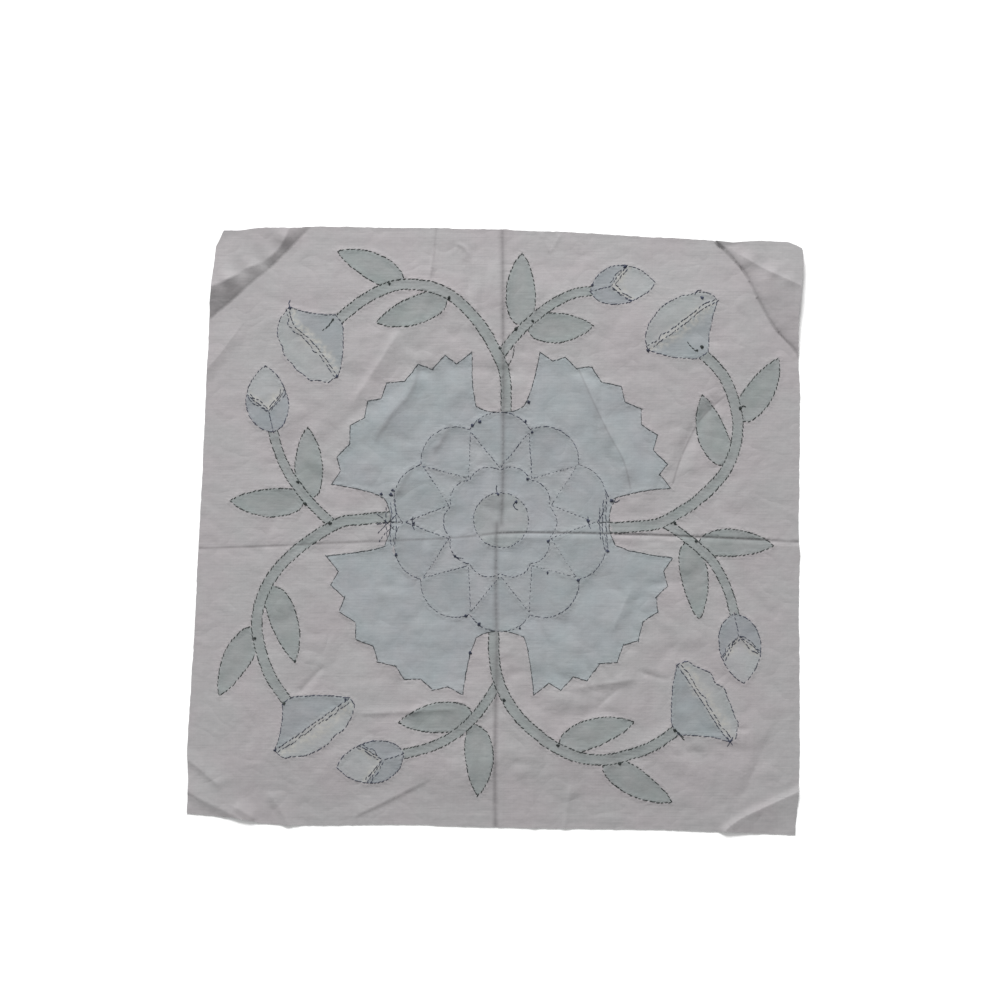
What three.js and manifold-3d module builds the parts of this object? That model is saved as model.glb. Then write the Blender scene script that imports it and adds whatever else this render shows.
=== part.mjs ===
// Applique quilt block, lying wrong side up on a table: a square of thin muslin on top,
// and under it the motif pieces that are sewn to its right side. The design is an old
// rose with four vines, each with leaves, a tulip and a bud, and a comb between each two.
// Millimetres, +Z up, origin at the middle of the base.

import * as THREE from 'three';
import { mergeVertices } from 'three/addons/utils/BufferGeometryUtils.js';
import Module from 'manifold-3d';

const wasm = await Module();
wasm.setup();

// Driving dimensions

const MUSLIN = 1.0; // thickness of the square, with its nap and crumple
const PATCH = 1.0; // thickness of a motif piece with its turned edge
const GAP = 0.3; // clearance between two pieces
const LAYER = PATCH + GAP; // how far the patches hold the muslin off the table
const CENTRE = new THREE.Vector2(4.0, 6.9); // middle of the rose
const ARMS = 4;
const VINE_WIDTH = 8.0;
const SIDE_STEM_WIDTH = 7.0;
const TURN = Math.PI / 2;

// The square's cut edge, walked clockwise from its top left corner. A row gives how far
// along its side a point is, as a share of it, and how far it stands out from the
// straight line between the corners.

const CORNERS = {
  topLeft: new THREE.Vector2(-209.5, 232.4),
  topRight: new THREE.Vector2(238.1, 218.5),
  bottomRight: new THREE.Vector2(233.0, -235.6),
  bottomLeft: new THREE.Vector2(-238.9, -218.8),
};

const SIDES = {
  top: [
    { along: 0.04, out: 1.1 },
    { along: 0.07, out: 3.6 },
    { along: 0.11, out: 3.3 },
    { along: 0.13, out: 5.5 },
    { along: 0.34, out: 7.3 },
    { along: 0.49, out: 8.1 },
    { along: 0.52, out: 7.0 },
    { along: 0.57, out: 8.2 },
    { along: 0.76, out: 5.0 },
    { along: 0.82, out: 6.1 },
    { along: 0.86, out: 2.0 },
    { along: 0.91, out: 5.1 },
    { along: 0.98, out: 4.6 },
  ],
  right: [
    { along: 0.02, out: 1.3 },
    { along: 0.11, out: -2.1 },
    { along: 0.17, out: -2.1 },
    { along: 0.26, out: 0.0 },
    { along: 0.49, out: -0.2 },
    { along: 0.52, out: 1.3 },
    { along: 0.58, out: 0.3 },
    { along: 0.70, out: 1.7 },
    { along: 0.92, out: 2.8 },
    { along: 0.95, out: 0.5 },
  ],
  bottom: [
    { along: 0.12, out: -0.5 },
    { along: 0.23, out: -0.4 },
    { along: 0.43, out: 2.2 },
    { along: 0.65, out: 2.6 },
    { along: 0.84, out: 6.9 },
    { along: 0.87, out: 7.2 },
    { along: 0.90, out: 2.8 },
  ],
  left: [
    { along: 0.06, out: 0.4 },
    { along: 0.09, out: 2.9 },
    { along: 0.28, out: 3.2 },
    { along: 0.57, out: 5.0 },
    { along: 0.81, out: 7.0 },
    { along: 0.90, out: 8.2 },
    { along: 0.94, out: 5.2 },
    { along: 0.97, out: 5.5 },
  ],
};

// Where the two long creases from folding the square in four meet its sides, as shares of
// each side, and where they cross.

const CREASE_END = { top: 0.482, right: 0.5, bottom: 0.492, left: 0.455 };
const CREASE_CROSSING = new THREE.Vector2(4.0, -1.6);

// Folds left by storage. A row is a ridge from one point to another, with its height and
// how far it slopes away to its left and right, seen along the row.

const FOLDS = [
  { x1: 6.0, y1: 236.0, x2: 4.0, y2: -1.6, rise: 1.0, left: 9, right: 9 },
  { x1: 4.0, y1: -1.6, x2: 0.9, y2: -232.0, rise: 0.8, left: 9, right: 9 },
  { x1: -230.0, y1: -13.4, x2: 4.0, y2: -1.6, rise: 1.0, left: 9, right: 9 },
  { x1: 4.0, y1: -1.6, x2: 240.0, y2: -8.7, rise: 0.8, left: 9, right: 9 },
  { x1: -238.0, y1: 182.0, x2: -157.0, y2: 240.0, rise: 5.5, left: 70, right: 15 },
  { x1: 196.0, y1: 212.0, x2: 240.0, y2: 187.0, rise: 4.2, left: 60, right: 34 },
  { x1: -232.0, y1: 118.0, x2: -195.0, y2: 159.6, rise: 1.2, left: 14, right: 12 },
  { x1: -54.1, y1: 128.6, x2: -87.4, y2: 68.1, rise: 1.4, left: 12, right: 12 },
  { x1: 63.7, y1: 122.4, x2: 109.4, y2: 31.7, rise: 1.5, left: 12, right: 12 },
  { x1: 180.0, y1: 105.3, x2: 136.6, y2: 36.3, rise: 1.4, left: 12, right: 12 },
  { x1: 112.5, y1: -40.4, x2: 92.4, y2: -85.3, rise: 1.4, left: 12, right: 12 },
  { x1: -75.8, y1: 152.6, x2: -113.0, y2: 95.2, rise: 1.2, left: 12, right: 12 },
  { x1: 222.0, y1: -170.0, x2: 200.0, y2: -205.0, rise: 1.0, left: 12, right: 12 },
  { x1: 241.0, y1: -200.0, x2: 180.0, y2: -232.0, rise: 1.7, left: 15, right: 11 },
  { x1: -241.0, y1: -200.0, x2: -192.0, y2: -227.0, rise: 1.4, left: 16, right: 10 },
];

// The top left corner curls up off the table beyond this line.

const CURLED_CORNER = { x1: -213.0, y1: 218.5, x2: -189.7, y2: 236.0, slope: 0.11 };

const RIPPLE = { rise: 0.5, wave: 31, sway: 1.4, drift: 47 }; // soft unevenness all over
const FLAT_RIM = 6; // the cut edge that lies on the table
const RIM_SLOPE = 7; // where the muslin climbs onto the patches
const CREASE_HALF = 9; // half the width of the two long creases
const CELLS = 10; // lattice cells between the rim and a long crease

function sideCurve(from, to, rows) {
  const line = new THREE.Vector2().subVectors(to, from);
  const out = new THREE.Vector2(-line.y, line.x).normalize();
  const points = rows.map((row) => (
    from.clone().addScaledVector(line, row.along).addScaledVector(out, row.out)
  ));
  return [from, ...points, to];
}

// Walks a chain of points and gives the one at a share of its length.

function pointAlong(chain, share) {
  const lengths = chain.slice(1).map((point, i) => point.distanceTo(chain[i]));
  let rest = share * lengths.reduce((sum, length) => sum + length, 0);
  let leg = 0;
  while (leg < lengths.length - 1 && rest > lengths[leg]) {
    rest -= lengths[leg];
    leg += 1;
  }
  return chain[leg].clone().lerp(chain[leg + 1], rest / lengths[leg]);
}

// The two halves of a side, each walked from its corner to the end of the crease.

function halves(name, from, to) {
  const chain = sideCurve(from, to, SIDES[name]);
  const middle = CREASE_END[name];
  return {
    first: (share) => pointAlong(chain, share * middle),
    second: (share) => pointAlong(chain, 1 - share * (1 - middle)),
  };
}

const { topLeft, topRight, bottomRight, bottomLeft } = CORNERS;
const side = {
  top: halves('top', topLeft, topRight),
  right: halves('right', topRight, bottomRight),
  bottom: halves('bottom', bottomRight, bottomLeft),
  left: halves('left', bottomLeft, topLeft),
};

// Each quarter of the square is filled in between its two cut edges and the two creases.

function quarter(cutAcross, cutDown) {
  const corner = cutAcross(0);
  const acrossEnd = cutAcross(1);
  const downEnd = cutDown(1);
  return (s, t) => {
    const across = cutAcross(s);
    const down = cutDown(t);
    const creaseAcross = downEnd.clone().lerp(CREASE_CROSSING, s);
    const creaseDown = acrossEnd.clone().lerp(CREASE_CROSSING, t);
    const between = across.multiplyScalar(1 - t).addScaledVector(creaseAcross, t);
    const beside = down.multiplyScalar(1 - s).addScaledVector(creaseDown, s);
    const corners = corner.clone().multiplyScalar((1 - s) * (1 - t))
      .addScaledVector(acrossEnd, s * (1 - t))
      .addScaledVector(downEnd, (1 - s) * t)
      .addScaledVector(CREASE_CROSSING, s * t);
    return between.add(beside).sub(corners);
  };
}

const quarters = {
  topLeft: quarter(side.top.first, side.left.second),
  topRight: quarter(side.top.second, side.right.first),
  bottomRight: quarter(side.bottom.first, side.right.second),
  bottomLeft: quarter(side.bottom.second, side.left.first),
};

// Stations from a cut edge to a long crease, as shares of half the square.

const HALF = 236;
const inner = HALF - FLAT_RIM - RIM_SLOPE - CREASE_HALF;
const stations = [0, FLAT_RIM / HALF];
for (let i = 0; i <= CELLS; i += 1) {
  stations.push((FLAT_RIM + RIM_SLOPE + (inner * i) / CELLS) / HALF);
}
stations.push(1);
const LAST = 2 * (stations.length - 1);

function share(index) {
  const step = index < stations.length ? index : LAST - index;
  return stations[step];
}

function planPoint(column, row) {
  const onLeft = column < stations.length;
  const onTop = row < stations.length;
  const name = (onTop ? 'top' : 'bottom') + (onLeft ? 'Left' : 'Right');
  return quarters[name](share(column), share(row));
}

// Height of the muslin's underside: off the patches, over the folds, flat at the rim.

function foldHeight(point, fold) {
  const from = new THREE.Vector2(fold.x1, fold.y1);
  const run = new THREE.Vector2(fold.x2, fold.y2).sub(from);
  const length = run.length();
  run.normalize();
  const offset = point.clone().sub(from);
  const along = offset.dot(run);
  const across = run.cross(offset);
  const reach = across > 0 ? fold.left : fold.right;
  const beyond = Math.max(0, -along, along - length);
  const distance = Math.hypot(across / reach, beyond / reach);
  return fold.rise * Math.max(0, 1 - distance);
}

function curlHeight(point) {
  const { x1, y1, x2, y2, slope } = CURLED_CORNER;
  const from = new THREE.Vector2(x1, y1);
  const run = new THREE.Vector2(x2, y2).sub(from).normalize();
  const across = run.cross(point.clone().sub(from));
  return Math.max(0, across * slope);
}

function undersideHeight(point, onRim) {
  const folds = FOLDS.map((fold) => foldHeight(point, fold));
  const raised = Math.max(...folds, curlHeight(point));
  const { rise, wave, sway, drift } = RIPPLE;
  const swell = Math.sin(point.x / wave + sway * Math.sin(point.y / drift));
  const ripple = rise * (0.5 + 0.5 * swell);
  return onRim ? raised : LAYER + Math.max(raised, ripple);
}

const lattice = [];
for (let row = 0; row <= LAST; row += 1) {
  for (let column = 0; column <= LAST; column += 1) {
    const onRim = Math.min(row, column, LAST - row, LAST - column) < 2;
    const plan = planPoint(column, row);
    lattice.push(new THREE.Vector3(plan.x, plan.y, undersideHeight(plan, onRim)));
  }
}

// A sheet between two heights over the lattice. Both faces are split along the same
// diagonal of each cell, the one that follows the higher fold.

function sheet(lowShift, highShift) {
  const count = lattice.length;
  const positions = [];
  for (const shift of [lowShift, highShift]) {
    for (const point of lattice) {
      positions.push(point.x, point.y, point.z + shift);
    }
  }
  const at = (row, column) => row * (LAST + 1) + column;
  const indices = [];
  for (let row = 0; row < LAST; row += 1) {
    for (let column = 0; column < LAST; column += 1) {
      const a = at(row, column);
      const b = at(row, column + 1);
      const c = at(row + 1, column + 1);
      const d = at(row + 1, column);
      const alongAC = lattice[a].z + lattice[c].z >= lattice[b].z + lattice[d].z;
      const triangles = alongAC ? [[a, c, b], [a, d, c]] : [[a, d, b], [b, d, c]];
      for (const [p, q, r] of triangles) {
        indices.push(p + count, q + count, r + count, r, q, p);
      }
    }
  }
  const rim = [];
  for (let i = 0; i < LAST; i += 1) rim.push(at(0, i));
  for (let i = 0; i < LAST; i += 1) rim.push(at(i, LAST));
  for (let i = LAST; i > 0; i -= 1) rim.push(at(LAST, i));
  for (let i = LAST; i > 0; i -= 1) rim.push(at(i, 0));
  rim.forEach((p, i) => {
    const q = rim[(i + 1) % rim.length];
    indices.push(p, p + count, q + count, p, q + count, q);
  });
  const geometry = new THREE.BufferGeometry();
  geometry.setAttribute('position', new THREE.Float32BufferAttribute(positions, 3));
  geometry.setIndex(indices);
  return geometry;
}

// Solids that can be cut, and back again

function toManifold(geometry) {
  const bare = geometry.clone();
  bare.deleteAttribute('normal');
  bare.deleteAttribute('uv');
  const merged = mergeVertices(bare, 1e-4);
  return new wasm.Manifold(new wasm.Mesh({
    numProp: 3,
    vertProperties: new Float32Array(merged.attributes.position.array),
    triVerts: new Uint32Array(merged.index.array),
  }));
}

function toGeometry(solid) {
  const mesh = solid.getMesh();
  const geometry = new THREE.BufferGeometry();
  geometry.setAttribute('position', new THREE.BufferAttribute(mesh.vertProperties, 3));
  geometry.setIndex(new THREE.BufferAttribute(mesh.triVerts, 1));
  geometry.computeVertexNormals();
  return geometry;
}

const DEEP = 20; // taller than any fold

function prism(outline) {
  const shape = new THREE.Shape(outline);
  const geometry = new THREE.ExtrudeGeometry(shape, { depth: 2 * DEEP, bevelEnabled: false });
  geometry.translate(0, 0, -DEEP);
  return toManifold(geometry);
}

// Moves an outline outwards by a clearance, corner by corner.

function grown(outline, clearance) {
  const points = THREE.ShapeUtils.isClockWise(outline) ? [...outline].reverse() : outline;
  const count = points.length;
  return points.map((point, i) => {
    const before = point.clone().sub(points[(i + count - 1) % count]).normalize();
    const after = points[(i + 1) % count].clone().sub(point).normalize();
    const normal = new THREE.Vector2(before.y + after.y, -before.x - after.x).normalize();
    const half = Math.max(0.4, normal.dot(new THREE.Vector2(before.y, -before.x)));
    return point.clone().addScaledVector(normal, clearance / half);
  });
}

// Motif outlines. An arm's own plan has x along the arm, out from the rose, and y to the
// side that its vine sweeps to.

function armPoint(arm, out, across) {
  const origin = new THREE.Vector2();
  return new THREE.Vector2(out, across).rotateAround(origin, TURN * (arm + 1)).add(CENTRE);
}

function smooth(points, steps) {
  const curve = new THREE.SplineCurve(points);
  return curve.getPoints(steps);
}

// A strip of even width along a middle line.

function strip(middle, width) {
  const sides = [1, -1].map((sign) => middle.map((point, i) => {
    const ahead = middle[Math.min(i + 1, middle.length - 1)];
    const behind = middle[Math.max(i - 1, 0)];
    const run = ahead.clone().sub(behind).normalize();
    return point.clone().addScaledVector(new THREE.Vector2(-run.y, run.x), (sign * width) / 2);
  }));
  return [...sides[0], ...sides[1].reverse()];
}

// A leaf or bud: pointed at its tip, blunt at its base, widest where its powers meet.

function leafSide(base, tip, width, bow, sign, powers, from = 0, to = 1) {
  const { pointed, blunt } = powers;
  const widest = blunt / (pointed + blunt);
  const axis = tip.clone().sub(base);
  const normal = new THREE.Vector2(-axis.y, axis.x).normalize();
  const steps = Math.max(3, Math.round(10 * (to - from)));
  const points = [];
  for (let i = 0; i <= steps; i += 1) {
    const t = from + ((to - from) * i) / steps;
    const swell = (t / widest) ** blunt * ((1 - t) / (1 - widest)) ** pointed;
    const offset = sign * (width / 2) * swell + bow * 4 * t * (1 - t);
    points.push(base.clone().lerp(tip, t).addScaledVector(normal, offset));
  }
  return points;
}

const LEAF_POWERS = { pointed: 0.8, blunt: 0.54 };
const BUD_POWERS = { pointed: 0.78, blunt: 0.62 };

function leafOutline({ base, tip, width, bow }) {
  const left = leafSide(base, tip, width, bow, 1, LEAF_POWERS);
  const right = leafSide(base, tip, width, bow, -1, LEAF_POWERS).reverse();
  return [...left, ...right.slice(1, -1)];
}

// Vines: the middle line of each, by the places that it passes in its own arm's plan.

const VINES = [
  {
    neck: [106, -4.5], fork: [126, 0], shoulder: [157, 18.6], bend: [178.5, 43.5],
    crown: [184.2, 74], hook: [175, 101], end: [157, 125],
  },
  {
    neck: [109, -1.8], fork: [127, 1.6], shoulder: [159.3, 23.3], bend: [180.5, 49],
    crown: [188.5, 80.5], hook: [180, 115], end: [165, 138.5],
  },
  {
    neck: [107, -4.3], fork: [129, 1.3], shoulder: [152.8, 16.2], bend: [176.2, 46.0],
    crown: [184.3, 78], hook: [175.5, 114], end: [161.5, 136],
  },
  {
    neck: [112, -2.9], fork: [129, 1.5], shoulder: [158, 21], bend: [178, 46],
    crown: [184.1, 78], hook: [174.4, 110.8], end: [157.7, 129.8],
  },
];
const VINE_ROOT = [80, -4.6];

// Side stems leave the vine at its fork, towards the other side.

const SIDE_STEMS = [
  { start: [129, 0], low: [148, -15.5], high: [166, -36.5], near: [176.5, -56], end: [179, -72] },
  { start: [130, 1], low: [147.5, -15.5], high: [163, -36.5], near: [172, -56], end: [176, -71.5] },
  { start: [124, -1], low: [147, -16.3], high: [164, -34], near: [174.5, -55], end: [180, -76] },
  { start: [126, 0], low: [145, -12.5], high: [164.5, -30.5], near: [176, -52], end: [182, -72.5] },
];

// Leaves, four to an arm: a outside the vine, b inside it, c and d either side of the side
// stem. A base lies under the stem that hides it.

const LEAVES = [
  { arm: 0, name: 'a', base: [182.5, 73.5], tip: [210, 126.3], width: 21, bow: -2.2 },
  { arm: 0, name: 'b', base: [174.8, 39.8], tip: [154.2, 96.1], width: 21.5, bow: 1.3 },
  { arm: 0, name: 'c', base: [151, -17.0], tip: [208.5, -17.1], width: 23, bow: 0.9 },
  { arm: 0, name: 'd', base: [151.5, -19.5], tip: [151.9, -72.1], width: 23, bow: -1.3 },
  { arm: 1, name: 'a', base: [187.5, 80.5], tip: [217.8, 134.8], width: 21.5, bow: -2.0 },
  { arm: 1, name: 'b', base: [177.5, 48.5], tip: [158.9, 108.5], width: 21.5, bow: 1.4 },
  { arm: 1, name: 'c', base: [150, -17.5], tip: [209.2, -16.3], width: 22, bow: 2.0 },
  { arm: 1, name: 'd', base: [147, -17.0], tip: [148.8, -73.6], width: 21.5, bow: 0.5 },
  { arm: 2, name: 'a', base: [183.5, 79], tip: [217, 133.3], width: 21.5, bow: -2.2 },
  { arm: 2, name: 'b', base: [175, 44.5], tip: [155, 103.9], width: 22, bow: 2.2 },
  { arm: 2, name: 'c', base: [156.5, -19.5], tip: [212.3, -17.4], width: 22, bow: 2.6 },
  { arm: 2, name: 'd', base: [150, -19.5], tip: [155.8, -78.3], width: 23.5, bow: -1.2 },
  { arm: 3, name: 'a', base: [183.5, 77.5], tip: [216.2, 127.1], width: 22, bow: -2.2 },
  { arm: 3, name: 'b', base: [175, 43], tip: [156.6, 98.4], width: 22.5, bow: 2.2 },
  { arm: 3, name: 'c', base: [152, -17.5], tip: [212.3, -18.6], width: 21, bow: 2.0 },
  { arm: 3, name: 'd', base: [145, -14.0], tip: [154.2, -75.2], width: 21, bow: 1.5 },
];

// Buds: the whole outline, how far its middle bows outward, and the point inside it where
// the calyx halves part.

const BUDS = [
  { arm: 0, base: [178.4, -70], tip: [185.2, -120.1], width: 30, bow: 2.6 },
  { arm: 1, base: [175.5, -69.5], tip: [182.1, -120.9], width: 32.5, bow: 2.0 },
  { arm: 2, base: [179.6, -74.5], tip: [189.9, -126.7], width: 32.5, bow: 1.9 },
  { arm: 3, base: [181.6, -71], tip: [189.1, -124.8], width: 32.5, bow: 1.0 },
];
const CALYX_FORK = 0.33; // share of the bud's length
const CALYX_LIP = 0.62; // where a calyx half ends at the bud's side
const CALYX_HOLLOW = 0.12; // how far its upper edge bends towards the stem

// Tulips: the cup's two points, how high the petal stands over the line between them, and
// how far the seam between cup and petal strays from that line near the outer point.

const TULIPS = [
  { arm: 0, outer: [166.6, 162.8], inner: [112.4, 125.5], petal: 24, stray: 5.5 },
  { arm: 1, outer: [174.4, 176.7], inner: [116.2, 136.4], petal: 19, stray: 0.5 },
  { arm: 2, outer: [170.5, 178.2], inner: [110.8, 137.2], petal: 18.5, stray: -1.0 },
  { arm: 3, outer: [169.0, 171.3], inner: [114.7, 133.3], petal: 20.5, stray: 1.5 },
];
const CUP_ROOT = 9; // width of the cup where it takes the vine
const CUP_SAG = { at: 0.6, depth: 5.2 }; // how the cup's outer side bends in
const CUP_SWELL = { at: 0.4, depth: 6.8 }; // how its inner side bends out

// Combs: the first and last point, as angles from the arm before and radii from the rose,
// and how far each of the eight points sits off an even spacing, in degrees.

const COMBS = [
  { first: 9.4, last: 77.4, end: 133.5, crown: 139.0, nudge: [0, -0.9, -1.4, 0.6, -0.7, -0.7, 0.6, 0] },
  { first: 11.0, last: 77.8, end: 137.0, crown: 144.2, nudge: [0, -0.2, -1.0, -0.5, -0.3, 0.1, 0, 0] },
  { first: 10.9, last: 78.4, end: 136.5, crown: 141.5, nudge: [0, -0.7, -1.5, 0.1, -0.1, 1.2, 0.3, 0] },
  { first: 11.2, last: 76.7, end: 135.0, crown: 140.6, nudge: [0, -1.5, -1.1, -0.6, -0.5, 1.5, 1.0, 0] },
];
const COMB_POINTS = 8;
const COMB_DEPTH = 6.3;
const COMB_LEAN = { first: 0.66, less: 0.26 }; // where a notch lies between its two points
const COMB_WAIST = 7; // how far a comb's sides are drawn in
const COMB_UNDER = 20; // how far a comb goes in under the rose's edge
const COMB_FOOT = [ // the curl of a side round the vine's root, in the arm's plan
  { out: 89.5, across: 18.6 },
  { out: 85.6, across: 9 },
  { out: 84.5, across: GAP / 2 },
  { out: 68, across: GAP / 2 },
];

// Rose: lobed rings meet their notches at one radius and peak at another. The star lies
// between them, and the circle sits a little off the middle.

const ROSE = { lobes: 10, notch: 75.5, peak: 85.0, turn: 0.0, steps: 6 };
const INNER_ROSE = { lobes: 10, notch: 40.0, peak: 43.8, turn: 0.5, steps: 4 };
const STAR = { tip: 72.6, valley: 42.6 };
const CIRCLE = { radius: 21.3, x: 0.8, y: 1.5, steps: 24 };

function polar(radius, angle) {
  return new THREE.Vector2(Math.cos(angle), Math.sin(angle)).multiplyScalar(radius).add(CENTRE);
}

function lobedOutline({ lobes, notch, peak, turn, steps }) {
  const half = Math.PI / lobes;
  const chord = notch * Math.sin(half);
  const rise = peak - notch * Math.cos(half);
  const radius = (chord * chord + rise * rise) / (2 * rise);
  const sweep = Math.asin(chord / radius);
  const points = [];
  for (let lobe = 0; lobe < lobes; lobe += 1) {
    const axis = TURN + 2 * half * (lobe + turn);
    const middle = polar(peak - radius, axis);
    for (let i = 0; i < steps; i += 1) {
      const angle = axis - sweep + (2 * sweep * i) / steps;
      points.push(new THREE.Vector2(Math.cos(angle), Math.sin(angle)).multiplyScalar(radius).add(middle));
    }
  }
  return points;
}

function starOutline() {
  const half = Math.PI / ROSE.lobes;
  const points = [];
  for (let i = 0; i < ROSE.lobes; i += 1) {
    points.push(polar(STAR.valley, TURN + 2 * half * i));
    points.push(polar(STAR.tip, TURN + 2 * half * (i + 0.5)));
  }
  return points;
}

function circleOutline() {
  const { radius, x, y, steps } = CIRCLE;
  const curve = new THREE.EllipseCurve(CENTRE.x + x, CENTRE.y + y, radius, radius);
  return curve.getPoints(steps).slice(0, -1);
}

function combOutline(arm) {
  const { first, last, end, crown, nudge } = COMBS[arm];
  const degrees = Math.PI / 180;
  const axis = TURN * (arm + 1);
  const step = (last - first) / (COMB_POINTS - 1);
  const points = [];
  for (let i = 0; i < COMB_POINTS; i += 1) {
    const share = i / (COMB_POINTS - 1);
    const radius = end + (crown - end) * Math.sin(Math.PI * share);
    points.push(polar(radius, axis + (first + step * i + nudge[i]) * degrees));
    if (i < COMB_POINTS - 1) {
      const lean = i + COMB_LEAN.first - COMB_LEAN.less * share;
      const between = nudge[i] + (nudge[i + 1] - nudge[i]) * 0.5;
      points.push(polar(radius - COMB_DEPTH, axis + (first + step * lean + between) * degrees));
    }
  }
  const nearFoot = COMB_FOOT.map(({ out, across }) => armPoint(arm, out, across)).reverse();
  const farFoot = COMB_FOOT.map(({ out, across }) => armPoint(arm + 1, out, -across));
  const hidden = polar(ROSE.notch - COMB_UNDER, axis + TURN / 2);
  const drawnIn = (from, to) => {
    const middle = from.clone().lerp(to, 0.5);
    return middle.addScaledVector(hidden.clone().sub(middle).normalize(), COMB_WAIST);
  };
  const drawSide = (from, to) => (
    new THREE.QuadraticBezierCurve(from, drawnIn(from, to), to).getPoints(4).slice(1, -1)
  );
  const nearSide = drawSide(nearFoot[nearFoot.length - 1], points[0]);
  const farSide = drawSide(points[points.length - 1], farFoot[0]);
  return [...points, ...farSide, ...farFoot, hidden, ...nearFoot, ...nearSide];
}

function vineLine(arm) {
  const { neck, fork, shoulder, bend, crown, hook, end } = VINES[arm];
  const places = [VINE_ROOT, neck, fork, shoulder, bend, crown, hook, end];
  return smooth(places.map(([out, across]) => armPoint(arm, out, across)), 26);
}

function sideStemLine(arm) {
  const { start, low, high, near, end } = SIDE_STEMS[arm];
  const places = [start, low, high, near, end];
  return smooth(places.map(([out, across]) => armPoint(arm, out, across)), 14);
}

function tulipOutlines({ arm, outer, inner, petal, stray }) {
  const root = armPoint(arm, ...VINES[arm].end);
  const outerTip = armPoint(arm, ...outer);
  const innerTip = armPoint(arm, ...inner);
  const chord = innerTip.clone().sub(outerTip);
  const across = chord.clone().normalize();
  const ahead = new THREE.Vector2(across.y, -across.x);
  if (ahead.dot(outerTip.clone().sub(root)) < 0) ahead.negate();
  const at = (share, height) => (
    outerTip.clone().addScaledVector(chord, share).addScaledVector(ahead, height)
  );
  const seam = smooth([outerTip, at(0.2, stray), at(0.45, stray * 0.3), at(0.7, 0), innerTip], 8);
  const outerRoot = root.clone().addScaledVector(across, -CUP_ROOT / 2);
  const innerRoot = root.clone().addScaledVector(across, CUP_ROOT / 2);
  const outerBend = outerRoot.clone().lerp(outerTip, CUP_SAG.at)
    .addScaledVector(across, CUP_SAG.depth);
  const innerBend = innerRoot.clone().lerp(innerTip, CUP_SWELL.at)
    .addScaledVector(across, CUP_SWELL.depth);
  const outerSide = new THREE.QuadraticBezierCurve(outerRoot, outerBend, outerTip);
  const innerSide = new THREE.QuadraticBezierCurve(innerTip, innerBend, innerRoot);
  const handle = (4 / 3) * petal;
  const rim = new THREE.CubicBezierCurve(innerTip, at(1, handle), at(0, handle), outerTip).getPoints(14);
  return {
    cup: [...outerSide.getPoints(4).slice(0, -1), ...seam, ...innerSide.getPoints(4).slice(1)],
    petal: [...seam, ...rim.slice(1, -1)],
  };
}

function budOutlines({ arm, base, tip, width, bow }) {
  const foot = armPoint(arm, ...base);
  const point = armPoint(arm, ...tip);
  const [fork] = leafSide(foot, point, 0, bow, 1, BUD_POWERS, CALYX_FORK, 1);
  const rim = (sign, from, to) => leafSide(foot, point, width, bow, sign, BUD_POWERS, from, to);
  const fold = (sign) => {
    const lip = rim(sign, CALYX_LIP, 1)[0];
    const bend = fork.clone().lerp(lip, 0.5).lerp(foot, CALYX_HOLLOW);
    return new THREE.QuadraticBezierCurve(lip, bend, fork).getPoints(4);
  };
  const calyx = (sign) => [...rim(sign, 0, CALYX_LIP), ...fold(sign).slice(1)];
  const leftTip = rim(1, CALYX_LIP, 1);
  const rightTip = rim(-1, CALYX_LIP, 1).reverse();
  return {
    left: calyx(1),
    right: calyx(-1),
    tip: [...leftTip, ...rightTip.slice(1), ...fold(-1).slice(1), ...fold(1).reverse().slice(1, -1)],
  };
}

// The group: each patch is its outline's prism, cut clear of the pieces that lie over it
// and then trimmed to the thin layer under the muslin.

const cloth = {
  muslin: new THREE.MeshStandardMaterial({ color: 0xb1abae, roughness: 0.95, metalness: 0 }),
  green: new THREE.MeshStandardMaterial({ color: 0x6f8a7c, roughness: 0.9, metalness: 0 }),
  blue: new THREE.MeshStandardMaterial({ color: 0x8fa3b0, roughness: 0.9, metalness: 0 }),
  lilac: new THREE.MeshStandardMaterial({ color: 0x8d93b8, roughness: 0.9, metalness: 0 }),
  cream: new THREE.MeshStandardMaterial({ color: 0xcfcabb, roughness: 0.9, metalness: 0 }),
};

const group = new THREE.Group();
const patchLayer = toManifold(sheet(-GAP - PATCH, -GAP));
const placed = [];

function addMesh(name, geometry, material) {
  const mesh = new THREE.Mesh(geometry, material);
  mesh.name = name;
  group.add(mesh);
}

function addPatch(name, outline, material) {
  const box = new THREE.Box2().setFromPoints(outline).expandByScalar(GAP);
  let solid = prism(outline);
  for (const other of placed) {
    if (other.box.intersectsBox(box)) solid = solid.subtract(other.clearance);
  }
  solid = solid.intersect(patchLayer);
  const [largest] = solid.decompose().sort((a, b) => b.volume() - a.volume());
  placed.push({ box, clearance: prism(grown(outline, GAP)) });
  addMesh(name, toGeometry(largest), material);
}

addMesh('base_cloth', sheet(0, MUSLIN), cloth.muslin);
addPatch('rose_centre', circleOutline(), cloth.lilac);
addPatch('rose_inner', lobedOutline(INNER_ROSE), cloth.blue);
addPatch('rose_star', starOutline(), cloth.lilac);
addPatch('rose_outer', lobedOutline(ROSE), cloth.blue);

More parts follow.
